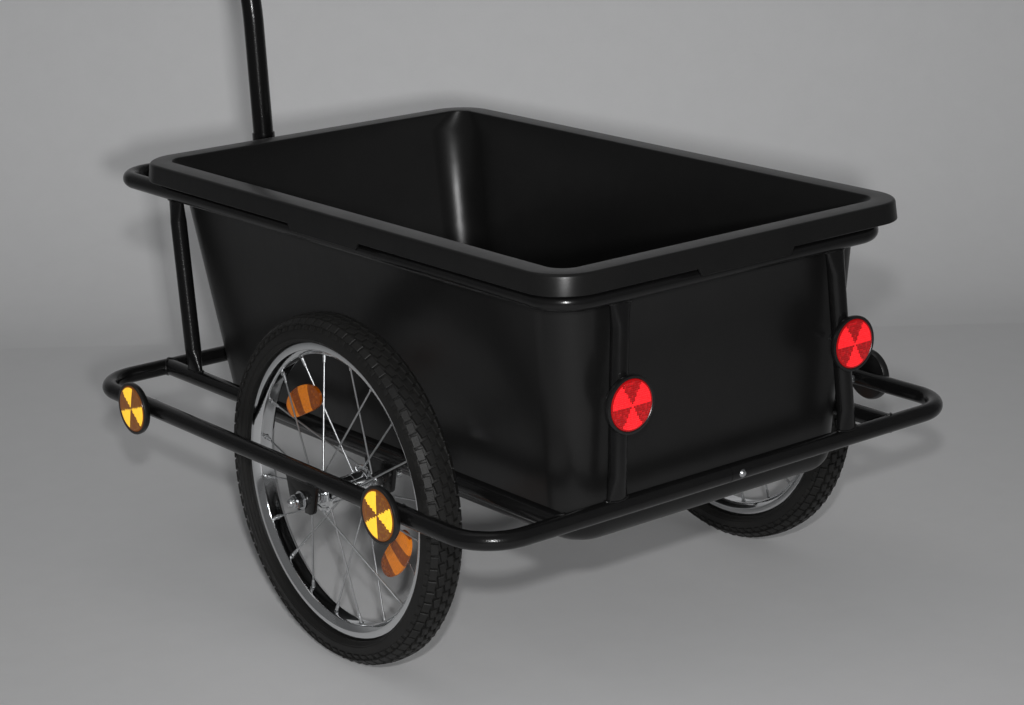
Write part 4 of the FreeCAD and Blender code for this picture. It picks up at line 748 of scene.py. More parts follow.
class CARGO_OT_finishes(bpy.types.Operator):
    """Makes every finish: enamel, plastic, rubber, chrome, zinc, alloy and lenses"""

    bl_idname = "cargo.finishes"
    bl_label = "Mix finishes"

    def execute(self, context):
        tones = context.scene.trailer_colours
        lenses = context.scene.trailer_reflectors
        coated(
            "sprayed_enamel", tones.enamel, 0.22, 0.05, 0.0016, 0.00012,
            dust=0.02, Specular_IOR_Level=0.25, Coat_Weight=0.1, Coat_Roughness=0.06,
        )
        coated(
            "moulded_tub", tones.tub, 0.31, 0.05, 0.0007, 0.00006,
            waviness=3.0, dust=0.02, Specular_IOR_Level=0.3,
        )
        coated(
            "tread_rubber", tones.rubber, 0.5, 0.08, 0.0012, 0.0003, dust=0.05, Specular_IOR_Level=0.25,
        )
        coated("moulded_black", tones.housing, 0.3, 0.06, 0.0006, 0.00008)
        coated("soft_rubber", tones.rubber, 0.7, 0.08, 0.0008, 0.0002, dust=0.06)
        metal("mirror_chrome", tones.chrome, 0.07, 0.05, 0.002, 0.00003, waviness=2.0)
        metal("bright_zinc", tones.zinc, 0.24, 0.08, 0.0009, 0.00006)
        metal("drawn_steel", tones.zinc, 0.4, 0.06, 0.0009, 0.00003)
        metal("clamp_alloy", tones.alloy, 0.42, 0.08, 0.0008, 0.0002)
        threaded("threaded_zinc", tones.zinc)
        prisms = lenses.lens_radius / lenses.facets
        # each lens has painted lit and deep prisms and painted glints, and the number after the prism count
        # is its painted glow
        prism_lens("red_prisms", tones.red_painted_lit, tones.red_painted_shade, prisms, 0.6, Sparkle=0.5)
        prism_lens(
            "amber_prisms", tones.amber_painted_lit, tones.amber_painted_shade, prisms, 0.7,
            Start=FULL_TURN / 12, Sparkle=0.12,
        )
        prism_lens(
            "clip_prisms", tones.clip_painted_lit, tones.clip_painted_shade, prisms, 0.14,
            Sectors=0.0, Bands=1.05, Sparkle=0.35,
        )
        return {"FINISHED"}


# Frame


def saddle_loop(point, tube_axis, way, half_along, half_across, tube_radius, steps=28):
    """The seam where a piece with an oval section meets a tube."""
    across = tube_axis.cross(way)
    points = []
    for step in range(steps):
        turn = FULL_TURN * step / steps
        aside = half_across * math.sin(turn)
        rise = math.sqrt(max(0.0, tube_radius ** 2 - aside ** 2))
        points.append(point + tube_axis * half_along * math.cos(turn) + across * aside + way * rise)
    return points


class CARGO_OT_tubes(bpy.types.Operator):
    """Sweeps the two rings and the inner rails of the frame"""

    bl_idname = "cargo.tubes"
    bl_label = "Bend frame tubes"

    def execute(self, context):
        sizes = context.scene.trailer_tubes
        enamel = finish("sprayed_enamel")
        radius = sizes.tube_radius
        level = sizes.ring_height
        rear = AXLE_X - sizes.ring_rear
        front = AXLE_X + sizes.ring_front
        reach = radius / 3
        rails = []
        for side, hand in SIDES:
            seam = sizes.seam_offset + hand * sizes.seam_gap / 2
            outer = hand * sizes.ring_half
            corners = [
                (rear, seam, level), (rear, outer, level), (front, outer, level), (front, seam, level),
            ]
            name = "lower_ring_tube_" + side
            ring = swept(name, corners, enamel, radius, sizes.ring_corner, 18, sizes.sides)
            settle(ring, "frame", "black_paint", "lower_ring_" + side, degrees=40)
            aside = hand * sizes.rail_half
            ends = [(rear + reach, aside, level), (front - reach, aside, level)]
            rails.append(swept("rail_" + side, ends, enamel, radius, sides=sizes.sides))
        rear = AXLE_X - sizes.upper_rear
        front = AXLE_X + sizes.upper_front
        half, height = sizes.upper_half, sizes.upper_height
        corners = [
            (rear, -half, height), (front, -half, height), (front, half, height), (rear, half, height),
        ]
        bend, sides = sizes.upper_corner, sizes.sides
        ring = swept("upper_ring_tube", corners, enamel, radius, bend, 18, sides, closed=True)
        settle(ring, "frame", "black_paint", "upper_ring", degrees=40)
        settle(joined("inner_rail_tubes", rails), "frame", "black_paint", "inner_rails", degrees=40)
        return {"FINISHED"}


class CARGO_OT_welds(bpy.types.Operator):
    """Runs weld beads round every joint of the frame"""

    bl_idname = "cargo.welds"
    bl_label = "Weld frame"

    def execute(self, context):
        sizes = context.scene.trailer_tubes
        bar = context.scene.trailer_drawbar
        radius = sizes.tube_radius
        seams = []
        for hand in (1, -1):
            for along, way in ((-sizes.ring_rear, FORWARD), (sizes.ring_front, -FORWARD)):
                point = Vector((AXLE_X + along, hand * sizes.rail_half, sizes.ring_height))
                seams.append(saddle_loop(point, LEFTWARD, way, radius, radius, radius))
            spots = (
                (sizes.front_foot, sizes.rail_half, sizes.ring_height, FORWARD, UP),
                (sizes.front_head, sizes.upper_half, sizes.upper_height, FORWARD, -UP),
                (-sizes.ring_rear, sizes.rear_foot, sizes.ring_height, LEFTWARD, UP),
                (-sizes.upper_rear, sizes.rear_head, sizes.upper_height, LEFTWARD, -UP),
            )
            for along, across, height, axis, way in spots:
                point = Vector((AXLE_X + along, hand * across, height))
                seams.append(saddle_loop(point, axis, way, sizes.flat_long, sizes.flat_short, radius))
            for across in (sizes.rail_half, sizes.ring_half):
                point = Vector((AXLE_X, hand * across, sizes.ring_height))
                seams.append(saddle_loop(point, FORWARD, -UP, sizes.plate_top, sizes.plate_half, radius))
        lean = math.tan(bar.lean)
        socket_x = AXLE_X + sizes.upper_front + (radius + bar.socket_radius) / math.cos(bar.lean)
        drop = sizes.ring_height - sizes.upper_height
        strut_end = Vector((socket_x + drop * lean, 0, sizes.ring_height))
        strut_start = Vector((AXLE_X + sizes.ring_front, 0, sizes.ring_height))
        seams.append(saddle_loop(strut_start, LEFTWARD, FORWARD, radius, radius, radius))
        # the bead follows the socket's lean and stays within its wall
        up_socket = Vector((math.sin(bar.lean), 0, math.cos(bar.lean)))
        off_socket = Vector((-up_socket.z, 0, up_socket.x))
        proud = bar.socket_radius + sizes.weld_radius * 0.4
        seams.append(saddle_loop(strut_end, up_socket, off_socket, radius, radius, proud))
        socket_head = Vector((socket_x, 0, sizes.upper_height))
        seams.append(saddle_loop(socket_head, up_socket, off_socket, 0.006, 0.0055, proud))
        beads = []
        for place, seam in enumerate(seams):
            values = {
                "Bead radius": sizes.weld_radius, "Ripple spacing": sizes.weld_radius,
                "Ripple height": sizes.weld_radius * 0.16, "Seed": place,
                "Finish": finish("sprayed_enamel"),
            }
            path = path_piece("bead_%d" % place, seam, True)
            beads.append(run_tree(path, kept_tree("weld_bead", weld_tree), values))
        settle(joined("weld_beads", beads), "frame", "black_paint", degrees=60)
        return {"FINISHED"}


def copied(node, name, material, body, slot, degrees=32.0, bevel=0.0):
    """A merged copy of a CAD node, so that its faces shade smoothly."""
    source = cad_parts[node]
    shape = bmesh.new()
    shape.from_mesh(source.data)
    bmesh.ops.transform(shape, matrix=source.matrix_world, verts=shape.verts)
    bmesh.ops.remove_doubles(shape, verts=shape.verts, dist=0.000005)
    if bevel:
        flat = math.radians(0.5)
        bmesh.ops.dissolve_limit(shape, angle_limit=flat, verts=shape.verts, edges=shape.edges)
    piece = new_object(name, finished_mesh(name, shape, turned_out=False), material)
    if bevel:
        edge = piece.modifiers.new("edge", "BEVEL")
        edge.width = bevel
        edge.segments = 2
        edge.limit_method = "ANGLE"
        edge.angle_limit = math.radians(50)
        bake(piece)
    return settle(piece, body, slot, node, degrees=degrees)


class CARGO_OT_posts(bpy.types.Operator):
    """Dresses the posts, plates, socket and strut that the frame carries over"""

    bl_idname = "cargo.posts"
    bl_label = "Dress posts and plates"

    def execute(self, context):
        enamel = finish("sprayed_enamel")
        for node in ("front_posts", "rear_posts", "socket_strut", "drawbar_socket"):
            copied(node, node + "_skin", enamel, "frame", "black_paint", degrees=38)
        for side in WHEEL_CENTRES:
            node = "axle_plates_" + side
            copied(node, node + "_skin", enamel, "frame", "black_paint", bevel=0.0006)
        return {"FINISHED"}


# Wheels


def block(shape, size, place, top=0.82):
    """A tread block with drawn-in top edges, standing on a place's XY plane."""
    half_x, half_y, height = size[0] / 2, size[1] / 2, size[2]
    rows = []
    for scale, reach in ((1.0, -0.0012), (1.0, height * 0.72), (top, height)):
        row = []
        for x, y in ((-1, -1), (1, -1), (1, 1), (-1, 1)):
            row.append(shape.verts.new(place @ Vector((x * half_x * scale, y * half_y * scale, reach))))
        rows.append(row)
    for low, high in zip(rows, rows[1:]):
        bridge(shape, low, high)
    shape.faces.new(rows[-1])
    shape.faces.new(list(reversed(rows[0])))


def on_wheel(turn, radius, aside, tilt=0.0, skew=0.0):
    """A place on a wheel drawn about its own Y, at an angle from +X towards +Z."""
    spin = Matrix.Rotation(-turn, 4, "Y")
    stand = Matrix.Rotation(math.pi / 2, 4, "Y")
    lift = Matrix.Translation(Vector((radius, aside, 0)))
    lean = Matrix.Rotation(tilt, 4, "Z")
    return spin @ lift @ lean @ stand @ Matrix.Rotation(skew, 4, "Z")


class CARGO_OT_tyres(bpy.types.Operator):
    """Makes the tyre casings and their block tread"""

    bl_idname = "cargo.tyres"
    bl_label = "Mould tyres"

    def execute(self, context):
        sizes = context.scene.trailer_wheels
        rubber = finish("tread_rubber")
        top = sizes.tyre_radius
        base = top - sizes.tread_depth
        wide = sizes.tyre_half
        half = [
            (base, 0.0), (base - 0.0002, 0.004), (base - 0.001, 0.0085), (base - 0.003, 0.0132),
            (base - 0.0065, 0.0172), (base - 0.0105, 0.0196), (base - 0.0150, wide - 0.0006),
            (base - 0.0190, wide - 0.0001), (base - 0.0205, wide + 0.0), (base - 0.0210, wide - 0.0006),
            (base - 0.0222, wide - 0.0004), (base - 0.0245, wide - 0.0020),
            (base - 0.0252, wide - 0.0030), (base - 0.0262, wide - 0.0034),
            (sizes.rim_radius + 0.0010, 0.0134), (sizes.rim_radius + 0.0002, 0.0121),
            (sizes.rim_radius - 0.0045, 0.0100),
        ]
        profile = half + mirrored(half[1:])
        for side, centre in WHEEL_CENTRES.items():
            shape = turn_profile(bmesh.new(), profile, 144, wheel_place(side), closed=True)
            casing = new_object("casing", finished_mesh("casing", shape), rubber)
            rows = [casing]
            tread = bmesh.new()
            pitch = FULL_TURN / sizes.tread_blocks
            for share, aside, axial in ((0.0, 0.0, 0.0072), (0.5, 0.0080, 0.0068), (0.5, -0.0080, 0.0068)):
                low = base - 0.0004 - (0.0007 if aside else 0.0)
                tilt = aside / 0.0080 * 0.14
                place = on_wheel(share * pitch, low, aside, tilt, 0.22)
                block(tread, (0.0116, axial, sizes.tread_depth), place, top=0.86)
            rows.append(repeated("tread", tread, rubber, sizes.tread_blocks, centre, turn=(0, pitch, 0)))
            lugs = bmesh.new()
            pitch = FULL_TURN / sizes.side_blocks
            for way in (-1, 1):
                upper = on_wheel(0.0, base - 0.0050, way * 0.0154, way * 0.62)
                block(lugs, (0.0120, 0.0082, 0.0022), upper, top=0.88)
                lower = on_wheel(0.5 * pitch, base - 0.0100, way * 0.0190, way * 1.1)
                block(lugs, (0.0086, 0.0052, 0.0014), lower, top=0.8)
            rows.append(repeated("lugs", lugs, rubber, sizes.side_blocks, centre, turn=(0, pitch, 0)))
            tyre = joined("tyre_tread_" + side, rows)
            settle(tyre, "wheel_" + side, "tyre_rubber", "tyre_" + side, degrees=35)
        return {"FINISHED"}


class CARGO_OT_rims(bpy.types.Operator):
    """Turns the chrome rims and seats an eyelet at each spoke"""

    bl_idname = "cargo.rims"
    bl_label = "Turn rims"

    def execute(self, context):
        sizes = context.scene.trailer_wheels
        chrome = finish("mirror_chrome")
        edge = sizes.rim_radius
        wide = sizes.rim_half
        low = edge - sizes.rim_depth
        base = 0.008
        half = [
            (edge - 0.0002, wide - 0.0017), (edge, wide - 0.0010), (edge - 0.0003, wide - 0.0003),
            (edge - 0.0012, wide), (edge - 0.0075, wide - 0.0001), (edge - 0.0085, wide - 0.0006),
            (low + 0.0012, base + 0.0010), (low + 0.0003, base + 0.0001), (low, base - 0.0010),
            (low + 0.0004, 0.0045), (low + 0.0005, 0.0),
        ]
        inner = [
            (low + 0.0018, 0.0), (low + 0.0018, base - 0.0020), (edge - 0.0075, wide - 0.0018),
            (edge - 0.0015, wide - 0.0018),
        ]
        profile = half + mirrored(half[:-1]) + mirrored(inner[1:]) + inner
        collar = [(0.0019, 0.0), (0.0030, 0.0), (0.0029, 0.0007), (0.0022, 0.0009)]
        turn = (0, -FULL_TURN / sizes.spokes, 0)
        for side, centre in WHEEL_CENTRES.items():
            shape = turn_profile(bmesh.new(), profile, 160, wheel_place(side), closed=True)
            rim = new_object("rim_shell", finished_mesh("rim_shell", shape), chrome)
            seat = on_wheel(sizes.first_hole, low + 0.0006, 0.0) @ Matrix.Rotation(math.pi, 4, "X")
            eyelet = turn_profile(bmesh.new(), collar, 14, seat, closed=True)
            eyelets = repeated("eyelets", eyelet, chrome, sizes.spokes, centre, turn=turn)
            rim = joined("rim_chrome_" + side, [rim, eyelets])
            settle(rim, "wheel_" + side, "bright_chrome", "rim_" + side, degrees=30)
        return {"FINISHED"}


class CARGO_OT_hubs(bpy.types.Operator):
    """Turns the hub shells with flared flanges"""

    bl_idname = "cargo.hubs"
    bl_label = "Turn hubs"

    def execute(self, context):
        sizes = context.scene.trailer_wheels
        span = sizes.flange_span
        thick = sizes.flange_thickness
        outer = sizes.flange_radius
        barrel = sizes.barrel_radius
        half = [
            (0.0091, span), (0.0118, span), (0.0124, span - 0.0008), (0.0140, span - 0.0010),
            (0.0146, span - 0.0002), (sizes.hole_radius - sizes.spoke_radius, span - 0.0001),
            (outer - 0.0006, span - sizes.flange_taper),
            (outer - 0.0001, span - sizes.flange_taper - 0.0004), (outer, span - thick / 2),
            (outer - 0.0001, span - thick + 0.0009), (outer - 0.0008, span - thick + 0.0002),
            (0.0152, span - thick), (barrel + 0.0008, span - thick - 0.0008),
            (barrel, span - thick - 0.0024), (barrel, 0.010), (barrel - 0.0006, 0.0094),
        ]
        chrome = finish("mirror_chrome")
        for side in WHEEL_CENTRES:
            shape = bmesh.new()
            turn_profile(shape, half + mirrored(half), 72, wheel_place(side), closed=True)
            node = "hub_shell_" + side
            shape_piece("hub_chrome_" + side, shape, chrome, "wheel_" + side, "bright_chrome", node)
        return {"FINISHED"}


def spoke_course(sizes, index):
    """Head, bend and rim end of a spoke about the wheel's middle, as the CAD laces it."""
    step = FULL_TURN / sizes.spokes
    flange = 1 if index % 2 == 0 else -1
    trailing = (index // 2) % 2 == 1
    rim_turn = sizes.first_hole + index * step
    hub_turn = rim_turn + (-2 * step if trailing else 2 * step)
    clear = sizes.spoke_radius + sizes.spoke_fit
    face = sizes.flange_span + clear
    through = -(sizes.flange_thickness + 2 * clear)
    if trailing:
        face += through
        through = -through
    hole = sizes.hole_radius
    start = Vector((hole * math.cos(hub_turn), flange * face, hole * math.sin(hub_turn)))
    head = start + Vector((0, flange * through, 0))
    low = sizes.rim_radius - sizes.rim_depth - 0.0005
    end = Vector((low * math.cos(rim_turn), 0, low * math.sin(rim_turn)))
    return head, start, end, flange * through


class CARGO_OT_spokes(bpy.types.Operator):
    """Laces the wheels: bent spokes with heads, and a nipple at each rim hole"""

    bl_idname = "cargo.spokes"
    bl_label = "Lace wheels"

    def execute(self, context):
        sizes = context.scene.trailer_wheels
        steel = finish("drawn_steel")
        group = 4
        number = sizes.spokes // group
        turn = (0, -FULL_TURN * group / sizes.spokes, 0)
        square = 0.0018
        head_profile = [(0, 0.0004), (0.0012, 0.0002), (0.0019, -0.0003), (0.0017, -0.0009), (0, -0.0009)]
        nipple_profile = [
            (0, 0.0), (0.0013, 0.0), (0.0017, 0.0006), (0.0017, 0.0044),
            (square * 1.05, 0.0050), (square * 1.05, 0.0094), (0.0022, 0.0098), (0, 0.0100),
        ]
        for side, centre in WHEEL_CENTRES.items():
            spokes = []
            nipples = bmesh.new()
            heads = bmesh.new()
            for index in range(group):
                head, start, end, through = spoke_course(sizes, index)
                along = (end - start).normalized()
                foot = end - along * 0.0095
                bent = [head, start, foot]
                spokes.append(swept("spoke", bent, steel, sizes.spoke_radius, 0.0016, 5, 10))
                seat = facing(head, Vector((0, math.copysign(1, through), 0)))
                turn_profile(heads, head_profile, 12, seat)
                seat = facing(end - along * 0.0100, along, up=LEFTWARD)
                turn_profile(nipples, nipple_profile, 8, seat)
            shape = gathered(spokes)
            shape.from_mesh(finished_mesh("heads", heads))
            laced = repeated("laced_spokes_" + side, shape, steel, number, centre, turn=turn)
            settle(laced, "wheel_" + side, "zinc_steel", "spokes_" + side, degrees=50)
            ends = repeated("spoke_nipples_" + side, nipples, steel, number, centre, turn=turn)
            settle(ends, "wheel_" + side, "zinc_steel", "nipples_" + side, degrees=25)
        return {"FINISHED"}


class CARGO_OT_clip_reflectors(bpy.types.Operator):
    """Moulds the oval reflectors clipped between the spokes, and the valves"""

    bl_idname = "cargo.clip_reflectors"
    bl_label = "Clip spoke reflectors"

    def execute(self, context):
        sizes = context.scene.trailer_wheels
        steps, rows = 28, 8
        mean = (sizes.clip_inner + sizes.clip_outer) / 2
        half_width = (sizes.clip_outer - sizes.clip_inner) / 2
        # where the two reflectors sit round the wheel, and how square their ends are
        spots_round = (math.radians(51.0), math.radians(-153.0))
        fullness = 2.4
        for side, centre in WHEEL_CENTRES.items():
            shape = bmesh.new()
            face_map = shape.loops.layers.uv.new("face")

            def mapped_face(*corners):
                face = shape.faces.new([vertex for vertex, spot in corners])
                for loop, (vertex, spot) in zip(face.loops, corners):
                    loop[face_map].uv = spot

            for place in spots_round:
                own_middle = Vector((mean * math.cos(place), 0, mean * math.sin(place)))
                swing = Matrix.Rotation(-sizes.clip_turn, 3, "Y")
                sheets = []
                for way in (1, -1):
                    sheet = []
                    for step in range(steps + 1):
                        along = math.sin((-1 + 2 * step / steps) * math.pi / 2)
                        width = half_width * max(0.0, 1 - abs(along) ** fullness) ** (1 / fullness)
                        row = []
                        for item in range(rows + 1):
                            across = -1 + 2 * item / rows
                            turn = place + along * sizes.clip_span / 2
                            radius = mean + across * width
                            edge = max(abs(along) ** 4, abs(across) ** 6)
                            aside = way * sizes.clip_half * (1 - 0.45 * edge)
                            spot = Vector((radius * math.cos(turn), aside, radius * math.sin(turn)))
                            vertex = shape.verts.new(centre + (own_middle + swing @ (spot - own_middle)))
                            row.append((vertex, (along, across * width / half_width * 0.42)))
                        sheet.append(row)
                    sheets.append(sheet)
                    for low, high in zip(sheet, sheet[1:]):
                        for item in range(rows):
                            mapped_face(low[item], low[item + 1], high[item + 1], high[item])
                front, back = sheets
                rim = [row[0] for row in front] + [row[rows] for row in reversed(front)]
                under = [row[0] for row in back] + [row[rows] for row in reversed(back)]
                for item in range(len(rim)):
                    after = (item + 1) % len(rim)
                    mapped_face(rim[item], rim[after], under[after], under[item])
            bmesh.ops.remove_doubles(shape, verts=shape.verts, dist=0.00001)
            bmesh.ops.dissolve_degenerate(shape, dist=0.00001, edges=shape.edges)
            wheel, node = "wheel_" + side, "spoke_reflectors_" + side
            prisms = finish("clip_prisms")
            shape_piece("clip_reflectors_" + side, shape, prisms, wheel, "amber_lens", node, degrees=50)
            low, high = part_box("valve_" + side)
            shape = bmesh.new()
            seat = facing(Vector((low[0], centre.y, centre.z)), FORWARD)
            long = high[0] - low[0]
            stem = [
                (0, 0.0002), (0.0021, 0.0002), (0.0026, 0.0006), (0.0026, 0.0068), (0.0019, 0.0072),
                (0.0019, 0.0082), (0.0030, 0.0092), (0.0031, long - 0.004), (0.0031, long), (0, long),
            ]
            turn_profile(shape, stem, 18, seat)
            rubber = finish("soft_rubber")
            shape_piece("valve_stem_" + side, shape, rubber, wheel, "black_rubber", "valve_" + side)
        return {"FINISHED"}


class CARGO_OT_axle_fittings(bpy.types.Operator):
    """Fits the axles with cones, nuts, washers and domed caps"""

    bl_idname = "cargo.axle_fittings"
    bl_label = "Fit axles"

    def execute(self, context):
        sizes = context.scene.trailer_axles
        bore = sizes.axle_radius + 0.00005
        fittings = bmesh.new()
        bars = bmesh.new()
        nut_start = sizes.plate_outer + sizes.washer_height
        for side in WHEEL_CENTRES:
            bar = [
                (0, -sizes.inner_reach), (sizes.axle_radius - 0.0006, -sizes.inner_reach),
                (sizes.axle_radius, -sizes.inner_reach + 0.0006),
                (sizes.axle_radius, sizes.outer_reach - 0.0006),
                (sizes.axle_radius - 0.0006, sizes.outer_reach), (0, sizes.outer_reach),
            ]
            turn_profile(bars, bar, 32, wheel_place(side))
            for outward in (1, -1):
                way = wheel_place(side, outward)
                cone = [
                    (bore, sizes.cone_start), (sizes.cone_radius - 0.0008, sizes.cone_start),
                    (sizes.cone_radius, sizes.cone_start + 0.0008),
                    (sizes.cone_radius, sizes.cone_end - 0.0040),
                    (sizes.cone_radius - 0.0012, sizes.cone_end - 0.0034),
                    (sizes.cone_radius - 0.0012, sizes.cone_end), (bore, sizes.cone_end),
                ]
                turn_profile(fittings, cone, 36, way, closed=True)
                for start, radius, height in (
                    (sizes.cone_end, sizes.nut_radius, sizes.plate_inner - sizes.cone_end),
                    (nut_start, sizes.nut_radius, sizes.nut_height),
                ):
                    seat = way @ Matrix.Translation((0, 0, start)) @ Matrix.Rotation(0.4 * outward, 4, "Z")
                    turn_profile(fittings, nut_profile(radius, bore, height), 48, seat, closed=True)
                washer = [
                    (bore, sizes.plate_outer), (sizes.washer_radius - 0.0003, sizes.plate_outer),
                    (sizes.washer_radius, sizes.plate_outer + 0.0003),
                    (sizes.washer_radius, nut_start - 0.0003), (sizes.washer_radius - 0.0003, nut_start),
                    (bore, nut_start),
                ]
                turn_profile(fittings, washer, 40, way, closed=True)
            start = nut_start + sizes.nut_height
            radius = sizes.cap_radius
            slim = radius * 0.72
            dome = [(bore, start), (radius - 0.0004, start)]
            dome += [(radius, start + 0.0004), (radius, start + 0.0022), (slim, start + 0.0032)]
            for step in range(1, 9):
                turn = math.pi / 2 * step / 8
                rise = start + 0.0040 + (sizes.cap_height - 0.0040) * math.sin(turn)
                dome.append((slim * math.cos(turn) if step < 8 else 0, rise))
            turn_profile(fittings, [(0, start + 0.0001)] + dome, 36, wheel_place(side))
        shape_piece("axle_bars", bars, finish("threaded_zinc"), "frame", "zinc_steel", "axles")
        zinc = finish("bright_zinc")
        shape_piece("axle_hardware", fittings, zinc, "frame", "zinc_steel", "axle_fittings", degrees=28)
        return {"FINISHED"}


# Tub


def tub_loop(shape, sizes, rear, front, half, corner, height, lip=0.0):
    """One level of the tub: a rounded rectangle whose sides can hang in a lip."""
    mid = (sizes.rim_front - sizes.rim_rear) / 2
    marks = [-sizes.lip_half - 0.005, -sizes.lip_half, sizes.lip_half, sizes.lip_half + 0.005]
    spots = []
    steps = sizes.corner_steps
    centres = (
        (front - corner, half - corner, 0), (-rear + corner, half - corner, 1),
        (-rear + corner, -half + corner, 2), (front - corner, -half + corner, 3),
    )
    for cx, cy, quarter in centres:
        for step in range(steps + 1):
            turn = math.pi / 2 * (quarter + step / steps)
            spots.append((cx + corner * math.cos(turn), cy + corner * math.sin(turn), 0.0))
        for item, mark in enumerate(marks):
            drop = -lip if item in (1, 2) else 0.0
            if quarter == 0:
                spots.append((mid - mark, half, drop))
            elif quarter == 1:
                spots.append((-rear, -mark, drop))
            elif quarter == 2:
                spots.append((mid + mark, -half, drop))
            else:
                spots.append((front, mark, drop))
    return [shape.verts.new((AXLE_X + x, y, height + drop)) for x, y, drop in spots]


class CARGO_OT_tub(bpy.types.Operator):
    """Moulds the tub with its rounded floor edge, hollow rim, lips and rest ribs"""

    bl_idname = "cargo.tub"
    bl_label = "Mould tub"

    def execute(self, context):
        sizes = context.scene.trailer_tub
        tubes = context.scene.trailer_tubes
        shape = bmesh.new()
        rise_all = sizes.rim_top - sizes.skirt_depth - sizes.floor_height

        def wall_level(rise, inset):
            share = rise / rise_all
            values = [
                low + (high - low) * share - inset
                for low, high in (
                    (sizes.floor_rear, sizes.neck_rear),
                    (sizes.floor_front, sizes.neck_front),
                    (sizes.floor_half, sizes.neck_half),
                    (sizes.floor_corner, sizes.neck_corner),
                )
            ]
            return tub_loop(shape, sizes, *values, sizes.floor_height + rise)

        def rim_level(inset, height, lip=0.0):
            # the skirt leans a little outwards on its way down
            fallen = (sizes.rim_top - height) / sizes.skirt_depth * sizes.skirt_lean
            ends = inset + sizes.skirt_lean - fallen
            return tub_loop(
                shape, sizes, sizes.rim_rear - ends, sizes.rim_front - ends,
                sizes.rim_half - inset + fallen, sizes.rim_corner - inset, height, lip,
            )

        def floor_round(wall):
            edge = sizes.floor_edge - wall
            levels = []
            for step in range(9):
                turn = math.pi / 2 * (1 - step / 8)
                inset = wall + edge * (1 - math.cos(turn))
                levels.append(wall_level(wall + edge * (1 - math.sin(turn)), inset))
            return levels

        low_skirt = sizes.rim_top - sizes.skirt_depth
        band_inner = sizes.rim_band
        levels = floor_round(0.0)
        for share in (0.35, 0.7, 1.0):
            levels.append(wall_level(sizes.floor_edge + (rise_all - sizes.floor_edge) * share, 0.0))
        for inset, height, lip in (
            (band_inner - sizes.wall, sizes.rim_top - sizes.skirt_wall, 0.0),
            (sizes.skirt_wall + 0.002, sizes.rim_top - sizes.skirt_wall, 0.0),
            (sizes.skirt_wall, sizes.rim_top - sizes.skirt_wall - 0.002, 0.0),
            (sizes.skirt_wall, low_skirt + 0.0006, sizes.lip_depth),
            (sizes.skirt_wall * 0.8, low_skirt, sizes.lip_depth),
            (sizes.skirt_wall * 0.2, low_skirt, sizes.lip_depth),
            (0.0, low_skirt + 0.0006, sizes.lip_depth),
        ):
            levels.append(rim_level(inset, height, lip))
        edge = 0.0035
        for step in range(7):
            turn = math.pi / 2 * step / 6
            height = sizes.rim_top - edge + edge * math.sin(turn)
            levels.append(rim_level(edge * (1 - math.cos(turn)), height))
        inner_edge = 0.0022
        for step in range(5):
            turn = math.pi / 2 * step / 4
            inset = band_inner - inner_edge + inner_edge * math.sin(turn)
            height = sizes.rim_top - inner_edge + inner_edge * math.cos(turn)
            levels.append(rim_level(inset, height))
        levels.append(wall_level(rise_all, sizes.wall * 0.4))
        for share in (0.7, 0.35):
            rise = sizes.floor_edge + (rise_all - sizes.floor_edge) * share
            levels.append(wall_level(rise, sizes.wall))
        levels += reversed(floor_round(sizes.wall))
        for low, high in zip(levels, levels[1:]):
            bridge(shape, low, high)
        shape.faces.new(levels[0])
        shape.faces.new(levels[-1])
        # ribs under the rim that rest on the upper ring
        low = tubes.upper_height + tubes.tube_radius + 0.0003
        high = sizes.rim_top - sizes.skirt_wall / 2
        mid = AXLE_X + (sizes.rim_front - sizes.rim_rear) / 2
        half_rib = 0.002
        inner = sizes.rim_band - sizes.wall / 2
        for hand in (1, -1):
            ribs = []
            foot = sizes.neck_half - sizes.wall / 2
            far = sizes.rim_half - 4 * sizes.skirt_wall
            for step in (-1, 0, 1):
                spot = Vector((mid + step * 0.210, 0, 0))
                ribs.append((spot, Vector((0, hand, 0)), foot, sizes.rim_half - inner, far))
            foot = sizes.neck_rear - sizes.wall / 2
            far = sizes.rim_rear - 4 * sizes.skirt_wall
            spot = Vector((AXLE_X, hand * 0.105, 0))
            ribs.append((spot, Vector((-1, 0, 0)), foot, sizes.rim_rear - inner, far))
            for spot, out, foot, head, far in ribs:
                aside = Vector((out.y, out.x, 0)) * half_rib
                corners = []
                for way in (aside, -aside):
                    for reach, height in ((foot, low), (far, low), (far, high), (head, high)):
                        corners.append(shape.verts.new(spot + out * reach + way + UP * height))
                bridge(shape, corners[:4], corners[4:])
                shape.faces.new(corners[:4])
                shape.faces.new(corners[4:])
        plastic = finish("moulded_tub")
        shape_piece("tub_shell", shape, plastic, "tub", "tub_plastic", "tub", degrees=30)
        return {"FINISHED"}


# Reflectors


def reflector_spots(context):
    """(point on the tube, outward, colour, turn, slack) of every round reflector."""
    lenses = context.scene.trailer_reflectors
    tubes = context.scene.trailer_tubes
    share = (lenses.rear_height - tubes.ring_height) / (tubes.upper_height - tubes.ring_height)
    rear_x = AXLE_X - (tubes.ring_rear + share * (tubes.upper_rear - tubes.ring_rear))
    rear_y = tubes.rear_foot + share * (tubes.rear_head - tubes.rear_foot)
    spots = []
    for hand in (1, -1):
        point = Vector((rear_x - lenses.lean_fit, hand * rear_y, lenses.rear_height))
        spots.append((point, -FORWARD, "red", 0.0, lenses.lean_fit))
        for along, turn in ((lenses.side_front, -0.22), (-lenses.side_rear, 0.0)):
            point = Vector((AXLE_X + along, hand * tubes.ring_half, tubes.ring_height))
            spots.append((point, LEFTWARD * hand, "amber", turn, 0.0))
    return spots


